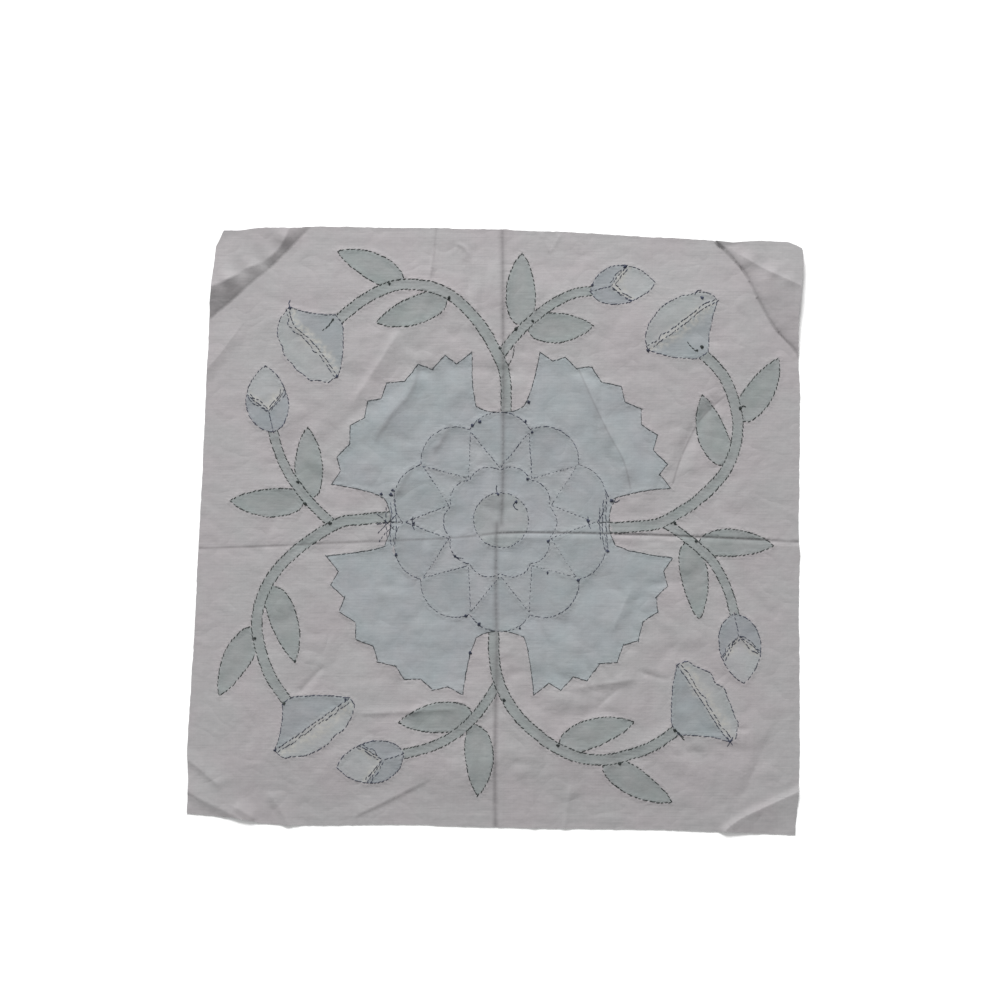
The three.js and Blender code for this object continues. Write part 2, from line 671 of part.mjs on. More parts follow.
for (let arm = 0; arm < ARMS; arm += 1) {
  addPatch(`comb_${arm + 1}`, combOutline(arm), cloth.blue);
}
for (let arm = 0; arm < ARMS; arm += 1) {
  const number = arm + 1;
  const tulip = tulipOutlines(TULIPS[arm]);
  const bud = budOutlines(BUDS[arm]);
  addPatch(`tulip_cup_${number}`, tulip.cup, cloth.blue);
  addPatch(`tulip_petal_${number}`, tulip.petal, cloth.cream);
  addPatch(`calyx_${number}_left`, bud.left, cloth.blue);
  addPatch(`calyx_${number}_right`, bud.right, cloth.blue);
  addPatch(`bud_tip_${number}`, bud.tip, cloth.cream);
  addPatch(`stem_${number}`, strip(vineLine(arm), VINE_WIDTH), cloth.green);
  addPatch(`side_stem_${number}`, strip(sideStemLine(arm), SIDE_STEM_WIDTH), cloth.green);
  for (const leaf of LEAVES.filter((row) => row.arm === arm)) {
    const base = armPoint(arm, ...leaf.base);
    const tip = armPoint(arm, ...leaf.tip);
    addPatch(`leaf_${number}_${leaf.name}`, leafOutline({ ...leaf, base, tip }), cloth.green);
  }
}

export default group;
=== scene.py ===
import math
import random

import bpy
import numpy as np
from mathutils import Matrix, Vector
from mathutils.geometry import delaunay_2d_cdt
from mathutils.kdtree import KDTree


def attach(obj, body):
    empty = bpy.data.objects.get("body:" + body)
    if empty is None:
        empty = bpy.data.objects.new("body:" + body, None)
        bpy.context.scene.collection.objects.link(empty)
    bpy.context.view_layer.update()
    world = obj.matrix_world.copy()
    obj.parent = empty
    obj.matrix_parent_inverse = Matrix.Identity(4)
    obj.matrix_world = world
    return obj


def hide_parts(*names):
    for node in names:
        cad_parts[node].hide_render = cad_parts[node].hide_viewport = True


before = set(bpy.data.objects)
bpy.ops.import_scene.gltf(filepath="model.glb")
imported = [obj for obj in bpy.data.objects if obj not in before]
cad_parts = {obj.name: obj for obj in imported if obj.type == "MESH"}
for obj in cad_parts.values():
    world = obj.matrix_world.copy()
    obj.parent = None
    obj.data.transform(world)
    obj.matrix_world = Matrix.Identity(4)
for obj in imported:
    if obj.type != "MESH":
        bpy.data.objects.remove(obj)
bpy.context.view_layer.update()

# Paper pattern. Each motif piece is cut to a template, so every outline is
# drawn once here, with soft curves between its sharp points. The cloth, the
# pieces under it and the stitches all follow these lines. Millimetres.

MM = 0.001
LINE_STEP = 0.5  # spacing of the points of a drawn line
SHARP_TURN = 0.6  # radians; a sharper turn than this is a point, not a curve
ROSE_MIDDLE = np.array([4.0, 6.9])
STAR_POINTS, STAR_TIP, STAR_VALLEY = 10, 73.6, 41.6


def cut_line(node):
    """Outline of a node's upper face, walked anticlockwise."""
    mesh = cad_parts[node].data
    places = [tuple(round(c / MM, 2) for c in v.co.xy) for v in mesh.vertices]
    border = set()
    for face in mesh.polygons:
        if face.normal.z > 0.5:
            ring = [places[i] for i in face.vertices]
            for pair in zip(ring, ring[1:] + ring[:1]):
                border ^= {tuple(sorted(pair))}
    joined = {}
    for a, b in sorted(border):
        if a != b:
            joined.setdefault(a, []).append(b)
            joined.setdefault(b, []).append(a)
    loops = []
    while joined:
        place = min(joined)
        loop = []
        while joined.get(place):
            loop.append(place)
            after = joined[place].pop(0)
            joined[after].remove(place)
            place = after
        joined = {a: b for a, b in joined.items() if b}
        loops.append(np.array(loop))
    loop = max(loops, key=lambda loop: np.ptp(loop, axis=0).sum())
    x, y = loop.T
    return loop if np.dot(x, np.roll(y, -1)) > np.dot(y, np.roll(x, -1)) else loop[::-1]


def without_flat_points(loop, tolerance=0.03):
    """Drops the points that lie on a straight run between their neighbours."""
    kept = [loop[0]]
    for place, after in zip(loop[1:], np.roll(loop, -2, 0)[:-1]):
        run = after - kept[-1]
        offset = place - kept[-1]
        reach = abs(run[0] * offset[1] - run[1] * offset[0]) / max(np.hypot(*run), 1e-6)
        if reach > tolerance:
            kept.append(place)
    return np.array(kept)


def curve_through(points, closed=False, step=LINE_STEP):
    """A smooth line through the points, with points of its own at an even step."""
    points = np.asarray(points, float)
    legs = np.diff(points, axis=0)
    gaps = np.hypot(*legs.T)
    along = np.concatenate([[0], np.cumsum(gaps)])
    slope = legs / gaps[:, None]
    tangent = np.zeros_like(points)
    share = (gaps[:-1] / (gaps[:-1] + gaps[1:]))[:, None]
    tangent[1:-1] = slope[:-1] * (1 - share) + slope[1:] * share
    if closed:
        tangent[0] = tangent[-1] = (slope[0] + slope[-1]) / 2
    elif len(points) > 2:
        tangent[0] = 1.5 * slope[0] - 0.5 * tangent[1]
        tangent[-1] = 1.5 * slope[-1] - 0.5 * tangent[-2]
    else:
        tangent[:] = slope[0]
    stops = np.linspace(0, along[-1], max(2, round(along[-1] / step) + 1))
    leg = np.clip(np.searchsorted(along, stops, "right") - 1, 0, len(gaps) - 1)
    t = ((stops - along[leg]) / gaps[leg])[:, None]
    reach = gaps[leg][:, None]
    return (
        points[leg] * (1 + 2 * t) * (1 - t) ** 2
        + points[leg + 1] * t**2 * (3 - 2 * t)
        + tangent[leg] * reach * t * (1 - t) ** 2
        - tangent[leg + 1] * reach * t**2 * (1 - t)
    )


def drawn(loop):
    """A closed line's smooth runs, parted at its sharp points."""
    loop = without_flat_points(loop)
    ahead = np.roll(loop, -1, 0) - loop
    heading = np.arctan2(ahead[:, 1], ahead[:, 0])
    turn = (heading - np.roll(heading, 1) + math.pi) % (2 * math.pi) - math.pi
    points = np.flatnonzero(np.abs(turn) > SHARP_TURN)
    if len(points) == 0:
        return [curve_through(np.vstack([loop, loop[:1]]), closed=True)]
    loop = np.roll(loop, -points[0], 0)
    stops = list(points - points[0]) + [len(loop)]
    loop = np.vstack([loop, loop[:1]])
    return [curve_through(loop[a : b + 1]) for a, b in zip(stops, stops[1:])]


def star_line():
    """The star under the rose, from valley to tip and back."""
    corner = np.arange(2 * STAR_POINTS)
    angle = math.pi / 2 + math.pi / STAR_POINTS * corner
    reach = np.where(corner % 2 == 0, STAR_VALLEY, STAR_TIP)
    return ROSE_MIDDLE + reach[:, None] * np.column_stack([np.cos(angle), np.sin(angle)])


NOISE_CELLS = 96  # side of the square of random heights that a pattern repeats
NOISE_START = 40.0  # keeps every place of the cloth on the positive side


def soft_noise(places, size, seed):
    """Soft unevenness from 0 to 1, with hills about one size apart."""
    grid = np.random.default_rng(seed).random((NOISE_CELLS, NOISE_CELLS))
    cell = places / size + NOISE_START
    column, row = (np.floor(cell).astype(int) % (NOISE_CELLS - 1)).T
    t = cell - np.floor(cell)
    x, y = (t * t * (3 - 2 * t)).T
    low = grid[column, row] * (1 - x) + grid[column + 1, row] * x
    high = grid[column, row + 1] * (1 - x) + grid[column + 1, row + 1] * x
    return low * (1 - y) + high * y


def smooth_step(value, low, high):
    t = np.clip((value - low) / (high - low), 0, 1)
    return t * t * (3 - 2 * t)


def near_tree(targets):
    tree = KDTree(len(targets))
    for i, (x, y) in enumerate(targets):
        tree.insert((x, y, 0), i)
    tree.balance()
    return tree


def nearest(places, tree):
    """Distance from each place to the closest of the tree's points, and which one it is."""
    found = [tree.find((x, y, 0)) for x, y in places]
    return np.array([row[2] for row in found]), np.array([row[1] for row in found], int)


def strayed(line, amount, size, seed):
    """A line moved a little to either side, as hand work strays from a drawn line."""
    stray = np.column_stack([soft_noise(line, size, seed), soft_noise(line, size, seed + 1)]) - 0.5
    return line + 2 * stray * np.asarray(amount).reshape(-1, 1)


ARMS = ("1", "2", "3", "4")
PETAL_STRAY = {"1": 1.1, "2": 1.0, "3": 1.7, "4": 0.9}  # the petals' edges are the least even
motif = ["rose_centre", "rose_inner", "rose_star", "rose_outer"]
motif += [f"comb_{arm}" for arm in ARMS]
for arm in ARMS:
    motif += [f"tulip_cup_{arm}", f"tulip_petal_{arm}"]
    motif += [f"calyx_{arm}_left", f"calyx_{arm}_right", f"bud_tip_{arm}"]
    motif += [f"stem_{arm}", f"side_stem_{arm}"]
    motif += [f"leaf_{arm}_{letter}" for letter in "abcd"]

runs = {}
for name in motif:
    runs[name] = drawn(star_line() if name == "rose_star" else cut_line(name))
for arm, stray in PETAL_STRAY.items():
    cup = near_tree(np.vstack(runs[f"tulip_cup_{arm}"]))
    petal = f"tulip_petal_{arm}"
    for i, run in enumerate(runs[petal]):
        away, _ = nearest(run, cup)
        runs[petal][i] = strayed(run, stray * smooth_step(away, 1.0, 6.0), 6.5, 21)
outline = {name: np.vstack([run[:-1] for run in runs[name]]) for name in motif}


def close_to(places, line, reach=0.0):
    """Numbers of the places within the box round a line, widened by a reach."""
    low, high = line.min(0) - reach, line.max(0) + reach
    return np.flatnonzero(np.all((places > low) & (places < high), axis=1))


def inside(places, loop):
    """Which places lie inside a closed line."""
    result = np.zeros(len(places), bool)
    near = close_to(places, loop)
    x1, y1 = loop.T
    x2, y2 = np.roll(loop, -1, 0).T
    slope = (x2 - x1) / np.where(y1 == y2, 1.0, y2 - y1)
    for some in np.array_split(near, len(near) * len(loop) // 1000000 + 1):
        x, y = places[some].T[:, :, None]
        crossed = (y1 > y) != (y2 > y)
        result[some] = (crossed & (x < slope * (y - y1) + x1)).sum(1) % 2 == 1
    return result


def leftward(line):
    """Unit vectors to the left of a line's run."""
    run = np.gradient(line, axis=0)
    run /= np.hypot(*run.T)[:, None]
    return np.column_stack([-run[:, 1], run[:, 0]])


def family(name):
    """A piece's kind, without its number and letter."""
    first = name.split("_")[0]
    return first if first in ("calyx", "leaf") else name.rstrip("0123456789_")


# A piece is stitched wherever no other piece lies over its edge. The rose's layers lie the
# other way round, so each of them shows its whole line of stitches.
LOOK_OUT = 0.9  # how far outside an edge the next piece is looked for
SHORTEST_SEAM = 2.0
seams = []  # rows of kind and line
for place, name in enumerate(motif):
    over = [] if name.startswith("rose") else motif[:place]
    for run in runs[name]:
        probe = run - leftward(run) * LOOK_OUT
        hidden = np.zeros(len(run), bool)
        for other in over:
            hidden |= inside(probe, outline[other])
        edges = np.flatnonzero(np.diff(np.concatenate([[1], hidden, [1]])))
        for start, stop in zip(edges[::2], edges[1::2]):
            if (stop - start) * LINE_STEP > SHORTEST_SEAM:
                seams.append((name, run[start:stop]))

# Where two pieces of one flower meet, their raw edges are caught down by a second row.
SHORTEST_JOIN = 8.0
joins = []  # rows of arm, kind, line and the way to the paler piece
for arm in ARMS:
    pairs = [("tulip", f"tulip_cup_{arm}", f"tulip_petal_{arm}")]
    pairs += [("bud", f"calyx_{arm}_{side}", f"bud_tip_{arm}") for side in ("left", "right")]
    for kind, first, second in pairs:
        edge_of = near_tree(outline[second])
        long_runs = [run for run in runs[first] if len(run) * LINE_STEP > SHORTEST_JOIN]
        shared = min(long_runs, key=lambda run: nearest(run, edge_of)[0].mean())
        toward = outline[second].mean(0) - shared[len(shared) // 2]
        aside = leftward(shared) * np.sign((leftward(shared)[len(shared) // 2] * toward).sum())
        joins.append((arm, kind, shared, aside))

# Muslin square. Plain-weave cotton, about 18 in each way, cut by hand and left
# raw at its edge. It lies wrong side up on a table, off square, with the
# creases that it got from being folded in four and stored.

MUSLIN_THICK = 0.4
PATCH_LAYER = 1.15  # room that the motif pieces take under the muslin
LEAST_ROOM, ROSE_ROOM = 0.45, 0.7  # what is left of it in the deepest crease, and in the rose
RIM_START, RIM_END = 2.0, 56.0  # from the cut edge to where the muslin has climbed
SEAM_DEPTH, SEAM_HALF = 0.16, 1.2  # the stitches pull the muslin down in a small groove

# Creases. rise is the ridge's height, or a groove's depth if negative. left and right say
# how far it slopes away to either side of its run, fade how much of each end dies out.
CREASES = [
    # name, rise, left, right, fade at start, fade at end, points
    ("centre fold, far", 0.6, 1.1, 5.0, 0.0, 0.05, [(5.4, 240), (6, 179), (6.2, 101), (6, 47), (5, 6)]),
    ("centre fold, near", -0.7, 3.0, 1.8, 0.05, 0.0,
     [(1.6, 6), (0.9, -46), (1.7, -85), (0.4, -162), (0.4, -240)]),
    ("centre fold, shoulder", 0.9, 10, 22, 0.0, 0.2, [(6, 240), (6, 179), (6.2, 101), (5, 6)]),
    ("cross fold, left", -0.22, 1.4, 3.0, 0.0, 0.05,
     [(-240, -13.6), (-180, -12), (-126, -9.4), (-73.5, -7.4), (-25.4, -4.9), (4, -1.6)]),
    ("cross fold, right", -0.75, 1.3, 3.8, 0.05, 0.0,
     [(-6, -2.6), (4, -1.9), (50.5, -1.6), (89.3, -2.3), (159, -4.7), (240, -8.8)]),
    ("cross fold, shoulder", 0.5, 12, 18, 0.2, 0.0,
     [(-126, -12), (4, -5), (89, -6), (240, -12)]),
    ("far left, short", 1.3, 18, 8, 0.0, 0.3,
     [(-229, 119), (-224, 124), (-213, 136), (-204, 148), (-195, 160)]),
    ("far right ridge", 0.3, 4, 4, 0.2, 0.0, [(190, 213), (212, 200.5), (224, 195), (243, 186.5)]),
    ("far edge dip", -1.0, 9, 12, 0.2, 0.2, [(158, 228.5), (174, 220.5), (196, 226)]),
    ("near right corner", 1.9, 21, 6, 0.0, 0.0,
     [(241, -200), (235, -203), (211, -214), (186, -227), (180, -232)]),
    ("near right, steep", -1.2, 12, 9, 0.15, 0.3, [(234, -141), (228, -148), (205, -178), (192, -207)]),
    ("near right, wrinkle", -0.5, 5, 4, 0.3, 0.3, [(184, -153), (199, -154)]),
    ("near right, second wrinkle", -0.4, 5, 4, 0.3, 0.3, [(148, -171), (165, -172)]),
    ("near left corner", 1.4, 16, 7, 0.0, 0.0, [(-241, -200), (-235, -204), (-204, -220), (-192, -227)]),
    ("near left, second", 1.0, 14, 5, 0.0, 0.3, [(-239, -177), (-231, -183), (-209, -202)]),
    ("near left, third", 0.8, 12, 5, 0.2, 0.2, [(-203, -213), (-185, -224)]),
    ("near left, fourth", 1.0, 12, 6, 0.2, 0.0, [(-177, -201), (-161, -227), (-159, -232)]),
    ("near edge, thin", 0.8, 12, 3, 0.2, 0.3, [(-115, -224), (-73.5, -204), (-45, -189)]),
    ("along comb four", 1.6, 12, 11, 0.12, 0.15,
     [(65, 125), (75, 102.5), (87.5, 76.5), (100, 53), (105, 33)]),
    ("beside comb four", -1.8, 9, 9, 0.25, 0.3,
     [(180, 106), (169, 96.5), (157, 83), (153, 75.5), (142, 50.5), (138, 37)]),
    ("comb one band", 1.7, 9, 13, 0.3, 0.3, [(-58, 131), (-65.5, 107), (-80, 90), (-92, 70)]),
    ("rose lobe band", 1.1, 7, 9, 0.3, 0.3, [(-35, 80), (-46.5, 61)]),
    ("comb one, low", 0.9, 7, 9, 0.3, 0.3, [(-64, 49), (-77, 26)]),
    ("long diagonal", 1.2, 13, 5, 0.25, 0.25, [(-70, 162), (-76, 152), (-113, 95)]),
    ("far edge, short", -0.7, 8, 8, 0.0, 0.4, [(-43.6, 240), (-45, 226), (-49.4, 202)]),
    ("comb three band", 1.4, 9, 12, 0.3, 0.3, [(108, -38), (98.5, -61), (88, -83)]),
    ("under comb three", 1.1, 10, 6, 0.3, 0.3, [(56, -122.5), (116, -114)]),
    ("far edge, upright", 1.0, 5, 2.2, 0.0, 0.25, [(-45.5, 240), (-46.5, 224), (-48, 208), (-49.5, 196)]),
    ("far edge, fork", 0.7, 4, 3, 0.2, 0.3, [(-31, 222), (-25.5, 221), (-19, 211)]),
    ("beside the fork", -0.9, 6, 6, 0.2, 0.2, [(-24, 213), (-21.5, 199), (-21, 182)]),
    ("far edge, right fork", 0.6, 4, 4, 0.2, 0.3, [(35, 232), (40.5, 221), (43, 214)]),
    ("far edge, right fork's other side", 0.6, 4, 4, 0.2, 0.3, [(52, 231), (46, 221), (43, 214)]),
    ("beside tulip two", -0.9, 5, 5, 0.25, 0.25, [(-154, -128), (-143, -116), (-131, -103)]),
    ("beside tulip two, across", 0.8, 6, 4, 0.2, 0.2, [(-110, -142), (-66, -140), (-24, -137.5)]),
    ("towards tulip three", -0.7, 5, 4, 0.25, 0.25, [(110, -108), (124, -113), (137, -116)]),
    ("over leaf three b", -0.6, 5, 4, 0.25, 0.25, [(77, -140), (88, -129), (99, -121)]),
    ("near edge, upright", 0.6, 5, 5, 0.25, 0.0, [(27, -186), (31, -232)]),
    ("near edge, second upright", 0.7, 6, 4, 0.25, 0.0, [(60, -190), (53, -236)]),
]

# Sharp folds darkened with painted shade: the crease each lies on, how dark and how wide.
SHADED_FOLDS = {
    "centre fold, far": (0.85, 3.0), "centre fold, near": (0.95, 2.8),
    "cross fold, left": (0.8, 1.2), "cross fold, right": (0.95, 1.2),
    "beside comb four": (0.8, 1.0), "along comb four": (0.6, 1.1),
    "near right corner": (0.6, 1.0), "far edge, upright": (0.5, 1.5),
    "comb one band": (0.55, 3.4), "rose lobe band": (0.6, 3.6), "comb one, low": (0.45, 2.8),
    "far right ridge": (0.4, 1.2), "far left, short": (0.3, 1.2),
}

# Pleats. The muslin stands up from a valley line, steeply at first, to a ridge line with a
# height at each of its points, and falls away beyond it. Both lines run the same way and the
# ridge is to the left of the valley.
PLEATS = [
    # name, steepness, valley, ridge and its heights
    ("far left corner", 0.85,
     [(-243, 147), (-226, 160.5), (-205, 177.5), (-190, 191), (-174, 204), (-159, 219), (-138, 241)],
     [(-243, 183, 9), (-226, 187, 8), (-210, 193, 7), (-192, 203, 3.2), (-177, 210, 2),
      (-165, 222, 3.4), (-157, 243, 5.5)]),
    ("far right corner", 0.42,
     [(182, 213), (193, 200), (204, 179), (216, 158), (232, 140), (238, 131), (243, 124)],
     [(190, 213, 1.8), (212, 200.5, 5.0), (224, 195, 6.2), (237, 189, 6.6), (243, 186.5, 6.6)]),
]
PLEAT_BLEND = 6.0  # how softly the ridge's height changes along it
FALL_START, FALL_END, FALL = 12.0, 80.0, 0.35  # beyond the ridge the muslin sinks by this share
CREST, CREST_REACH = 0.12, 5.0  # and it sinks by this share quickly, so that the ridge is crisp
PLEAT_REACH = 100.0  # no pleat raises the muslin farther from its valley than this
RIDGE_SKIP = 4  # every fourth point of a ridge is enough for its height
CREASE_SLOPE = 1.3  # over 1, a crease is sharp on top and runs out softly

# Corners that lift off the table beyond a line, each to the left of its line.
LIFTED = [(0.11, (-213.0, 218.5), (-189.7, 236.0))]
LIFT_BEND = 4.0  # over how far it bends up

# What is left of the handling. Each row is a height, how far apart its hills are, and a seed.
SWELLS = ((0.55, 42.0, 3), (0.22, 17.0, 4))
CRUMPLES = ((2.1, 27.0, 5), (0.95, 12.5, 9))
HILLS_STRAY = 16.0  # the hills are pushed about by up to half of this
UPRIGHT, UPRIGHT_SIZE, UPRIGHT_SQUEEZE = 2.3, 15.0, 0.33  # narrow waves beside the centre fold
UPRIGHT_START, UPRIGHT_END = 60, 170  # where they begin to die out, and where they have
ON_TABLE = 0.05  # the muslin's under face is this far over the table at its edge


def beside_line(places, line, tree):
    """How far each place lies left of a line and past its ends, and at which point of it."""
    _, closest = nearest(places, tree)
    offset = places - line[closest]
    aside = leftward(line)[closest]
    across = (offset * aside).sum(1)
    beyond = np.abs(offset[:, 0] * aside[:, 1] - offset[:, 1] * aside[:, 0])
    return across, beyond, closest


def crease_height(places, line, tree, rise, left, right, fade_in, fade_out):
    """A ridge, or a groove if rise is negative."""
    reach = max(left, right)
    near = close_to(places, line, reach)
    height = np.zeros(len(places))
    if len(near) == 0:
        return height
    across, beyond, closest = beside_line(places[near], line, tree)
    side = np.where(across > 0, left, right)
    share = closest / (len(line) - 1)
    strength = np.ones(len(near))
    for from_end, fade in ((share, fade_in), (1 - share, fade_out)):
        if fade:
            strength *= smooth_step(from_end, 0, fade)
    slope = np.clip(1 - np.abs(across) / side - beyond / reach, 0, 1)
    height[near] = rise * strength * slope**CREASE_SLOPE
    return height


def pleat_height(places, line, tree, ridge, ridge_tree, heights, steepness):
    """A pleat that stands up from its valley line to its ridge and sinks slowly beyond it."""
    height = np.zeros(len(places))
    near = close_to(places, line, PLEAT_REACH)
    if len(near) == 0:
        return height
    places = places[near]
    across, _, _ = beside_line(places, line, tree)
    past, _, _ = beside_line(places, ridge, ridge_tree)
    apart = ((places[:, None] - ridge[None, ::RIDGE_SKIP]) ** 2).sum(2)
    weight = 1 / (apart + PLEAT_BLEND**2) ** 2
    level = (weight * heights[::RIDGE_SKIP]).sum(1) / weight.sum(1)
    share = np.abs(across) / np.maximum(np.abs(across) + np.abs(past), 1e-6)
    rise = np.where(past > 0, 1.0, share**steepness)
    rise *= 1 - FALL * smooth_step(across, FALL_START, FALL_END)
    rise *= 1 - CREST * (1 - np.exp(-np.maximum(past, 0) / CREST_REACH))
    rise[across < 0] = 0
    height[near] = level * rise
    return height


edge = without_flat_points(cut_line("base_cloth"))
edge_line = np.vstack([
    np.linspace(a, b, max(2, round(np.hypot(*(b - a)) / LINE_STEP)), endpoint=False)
    for a, b in zip(edge, np.roll(edge, -1, 0))
])
fray = soft_noise(edge_line, 3.0, 11) - 0.5 + 0.8 * (soft_noise(edge_line, 14.0, 12) - 0.5)
edge_line = edge_line + leftward(edge_line) * fray[:, None] * 0.5
edge_tree = near_tree(edge_line)
seam_tree = near_tree(np.vstack([line for _, line in seams]))
crease_lines = []
for _, rise, left, right, fade_in, fade_out, points in CREASES:
    line = curve_through(points, step=1.0)
    crease_lines.append((line, near_tree(line), rise, left, right, fade_in, fade_out))
pleat_lines = []
for _, steepness, valley, ridge in PLEATS:
    line, top = curve_through(valley, step=1.0), curve_through(ridge, step=1.0)
    pleat_lines.append((
        line, near_tree(line), top[:, :2], near_tree(top[:, :2]), top[:, 2], steepness,
    ))


def muslin_height(places, grooves=True):
    """Top of the muslin, in millimetres over the table."""
    from_edge, _ = nearest(places, edge_tree)
    rim = smooth_step(from_edge, RIM_START, RIM_END)
    height = MUSLIN_THICK + ON_TABLE + PATCH_LAYER * rim
    drift = np.column_stack([soft_noise(places, 31.0, 7), soft_noise(places, 29.0, 8)]) - 0.5
    moved = places + HILLS_STRAY * drift
    swell = sum(tall * soft_noise(moved, size, seed) for tall, size, seed in SWELLS)
    height += swell * (0.3 + 0.7 * rim)
    crumple = sum(tall * np.abs(soft_noise(moved, size, seed) - 0.5) for tall, size, seed in CRUMPLES)
    height += crumple * (0.15 + 0.85 * rim)
    upright = np.abs(soft_noise(moved * (1.0, UPRIGHT_SQUEEZE), UPRIGHT_SIZE, 10) - 0.5)
    from_fold = np.abs(places[:, 0] - ROSE_MIDDLE[0])
    height += UPRIGHT * upright * rim * (1 - smooth_step(from_fold, UPRIGHT_START, UPRIGHT_END))
    for crease in crease_lines:
        height += crease_height(places, *crease)
    for pleat in pleat_lines:
        height += pleat_height(places, *pleat)
    for slope, start, end in LIFTED:
        run = np.subtract(end, start)
        run = run / np.hypot(*run)
        offset = places - np.array(start)
        across = run[0] * offset[:, 1] - run[1] * offset[:, 0]
        bent = np.clip(across, 0, LIFT_BEND) ** 2 / (2 * LIFT_BEND)
        height += slope * np.where(across > LIFT_BEND, across - LIFT_BEND / 2, bent)
    from_rose = np.hypot(*(places - ROSE_MIDDLE).T)
    room = LEAST_ROOM * smooth_step(from_edge, 1.0, 8.0)
    room += ROSE_ROOM * (1 - smooth_step(from_rose, 24.0, 90.0))
    height = np.maximum(height, MUSLIN_THICK + ON_TABLE + room)
    if grooves:
        pull = np.clip(1 - nearest(places, seam_tree)[0] / SEAM_HALF, 0, 1)
        pucker = 0.6 + 0.8 * soft_noise(places, 3.4, 6)
        height -= SEAM_DEPTH * pull * pucker
    return height


LATTICE = 2.1  # spacing of the muslin's points where nothing else is going on
CLOSEST = 0.55  # no two points of the mesh are nearer than this
UNDER_LATTICE, UNDER_CLOSEST = 3.2, 0.9  # the same for the under face and for the patches
SHARP_CREASE = 2.0  # a crease that is narrower than this needs points of its own in every mesh
RIM_STEP, RIM_CLOSEST = 1.8, 1.0
SEAM_SIDE, SEAM_STEP = 0.45, 1.3  # rows of points run beside each seam,
CREASE_INNER, CREASE_OUTER, CREASE_STEP = 1.2, 4.0, 1.6  # along and beside each crease,
PLEAT_SIDE, PLEAT_STEP = 1.2, 1.4  # and along and beside each line of a pleat
FROM_EDGE, UNDER_FROM_EDGE = 0.7, 1.5  # no point within the rim is nearer to the cut edge


def thinned(groups, closest):
    """Joins groups of points, leaving out any that lies too near an earlier one."""
    taken, kept = {}, []
    for points in groups:
        for x, y in points:
            column, row = int(x // closest), int(y // closest)
            around = (
                taken.get((column + i, row + j), ()) for i in (-1, 0, 1) for j in (-1, 0, 1)
            )
            if all((x - p) ** 2 + (y - q) ** 2 >= closest**2 for cell in around for p, q in cell):
                taken.setdefault((column, row), []).append((x, y))
                kept.append((x, y))
    return kept


def every(line, spacing):
    """Points of a line about one spacing apart."""
    count = max(2, round(len(line) * LINE_STEP / spacing) + 1)
    return line[np.linspace(0, len(line) - 1, count).round().astype(int)]


def lattice(loop, spacing):
    low, high = loop.min(0), loop.max(0)
    x, y = (np.arange(low[i] + spacing / 2, high[i], spacing) for i in (0, 1))
    places = np.array([(a, b) for a in x for b in y])
    return places[inside(places, loop)]


def triangulated(rim, points):
    """Triangles that fill a closed rim and use the points inside it."""
    places = [tuple(p) for p in rim] + [tuple(p) for p in points]
    found = delaunay_2d_cdt(places, [], [list(range(len(rim)))], 1, 1e-5, False)
    places = np.array([tuple(p) for p in found[0]])
    faces = np.array(found[2])
    a, b, c = (places[faces[:, i]] for i in range(3))
    turn = (b[:, 0] - a[:, 0]) * (c[:, 1] - a[:, 1]) - (b[:, 1] - a[:, 1]) * (c[:, 0] - a[:, 0])
    faces[turn < 0] = faces[turn < 0][:, ::-1]
    faces = faces[inside((a + b + c) / 3, rim) & (np.abs(turn) > 1e-4)]
    return places, faces


SHARP_EDGE = math.radians(55)


def new_piece(name, points, faces):
    """A smooth-shaded piece at the origin, from points in millimetres."""
    mesh = bpy.data.meshes.new(name)
    mesh.from_pydata((np.asarray(points) * MM).tolist(), [], faces)
    mesh.polygons.foreach_set("use_smooth", [True] * len(mesh.polygons))
    mesh.set_sharp_from_angle(angle=SHARP_EDGE)
    mesh.validate()
    piece = bpy.data.objects.new(name, mesh)
    bpy.context.scene.collection.objects.link(piece)
    return piece


rim = np.array(thinned([every(edge_line, RIM_STEP)], RIM_CLOSEST))
beside_seams = [
    every(line + leftward(line) * side, SEAM_STEP)
    for _, line in seams
    for side in (SEAM_SIDE, -SEAM_SIDE)
]
on_creases, on_sharp_creases = [], []
for _, _, left, right, _, _, points in CREASES:
    line = curve_through(points)
    inner = (min(left / 2, CREASE_INNER), -min(right / 2, CREASE_INNER))
    outer = (min(left, CREASE_OUTER), -min(right, CREASE_OUTER))
    for side in (0.0, *inner, *outer):
        on_creases.append(every(line + leftward(line) * side, CREASE_STEP))
        if min(left, right) < SHARP_CREASE:
            on_sharp_creases.append(on_creases[-1])
for _, _, valley, ridge in PLEATS:
    for points in (valley, [place[:2] for place in ridge]):
        line = curve_through(points)
        for side in (-PLEAT_SIDE, 0.0, PLEAT_SIDE):
            on_creases.append(every(line + leftward(line) * side, PLEAT_STEP))
within_rim = [group[inside(group, rim)] for group in beside_seams + on_creases]
clear = np.array(thinned([rim] + within_rim + [lattice(rim, LATTICE)], CLOSEST)[len(rim) :])
clear = clear[nearest(clear, edge_tree)[0] > FROM_EDGE]
upper, upper_faces = triangulated(rim, clear)


def under_points(loop, tree, from_edge):
    """Points for a face that is not seen from above: a wide lattice, and the sharp creases."""
    groups = [points[inside(points, loop)] for points in on_sharp_creases]
    points = np.array(thinned(groups + [lattice(loop, UNDER_LATTICE)], UNDER_CLOSEST))
    return points[nearest(points, tree)[0] > from_edge]


under, under_faces = triangulated(rim, under_points(rim, edge_tree, UNDER_FROM_EDGE))


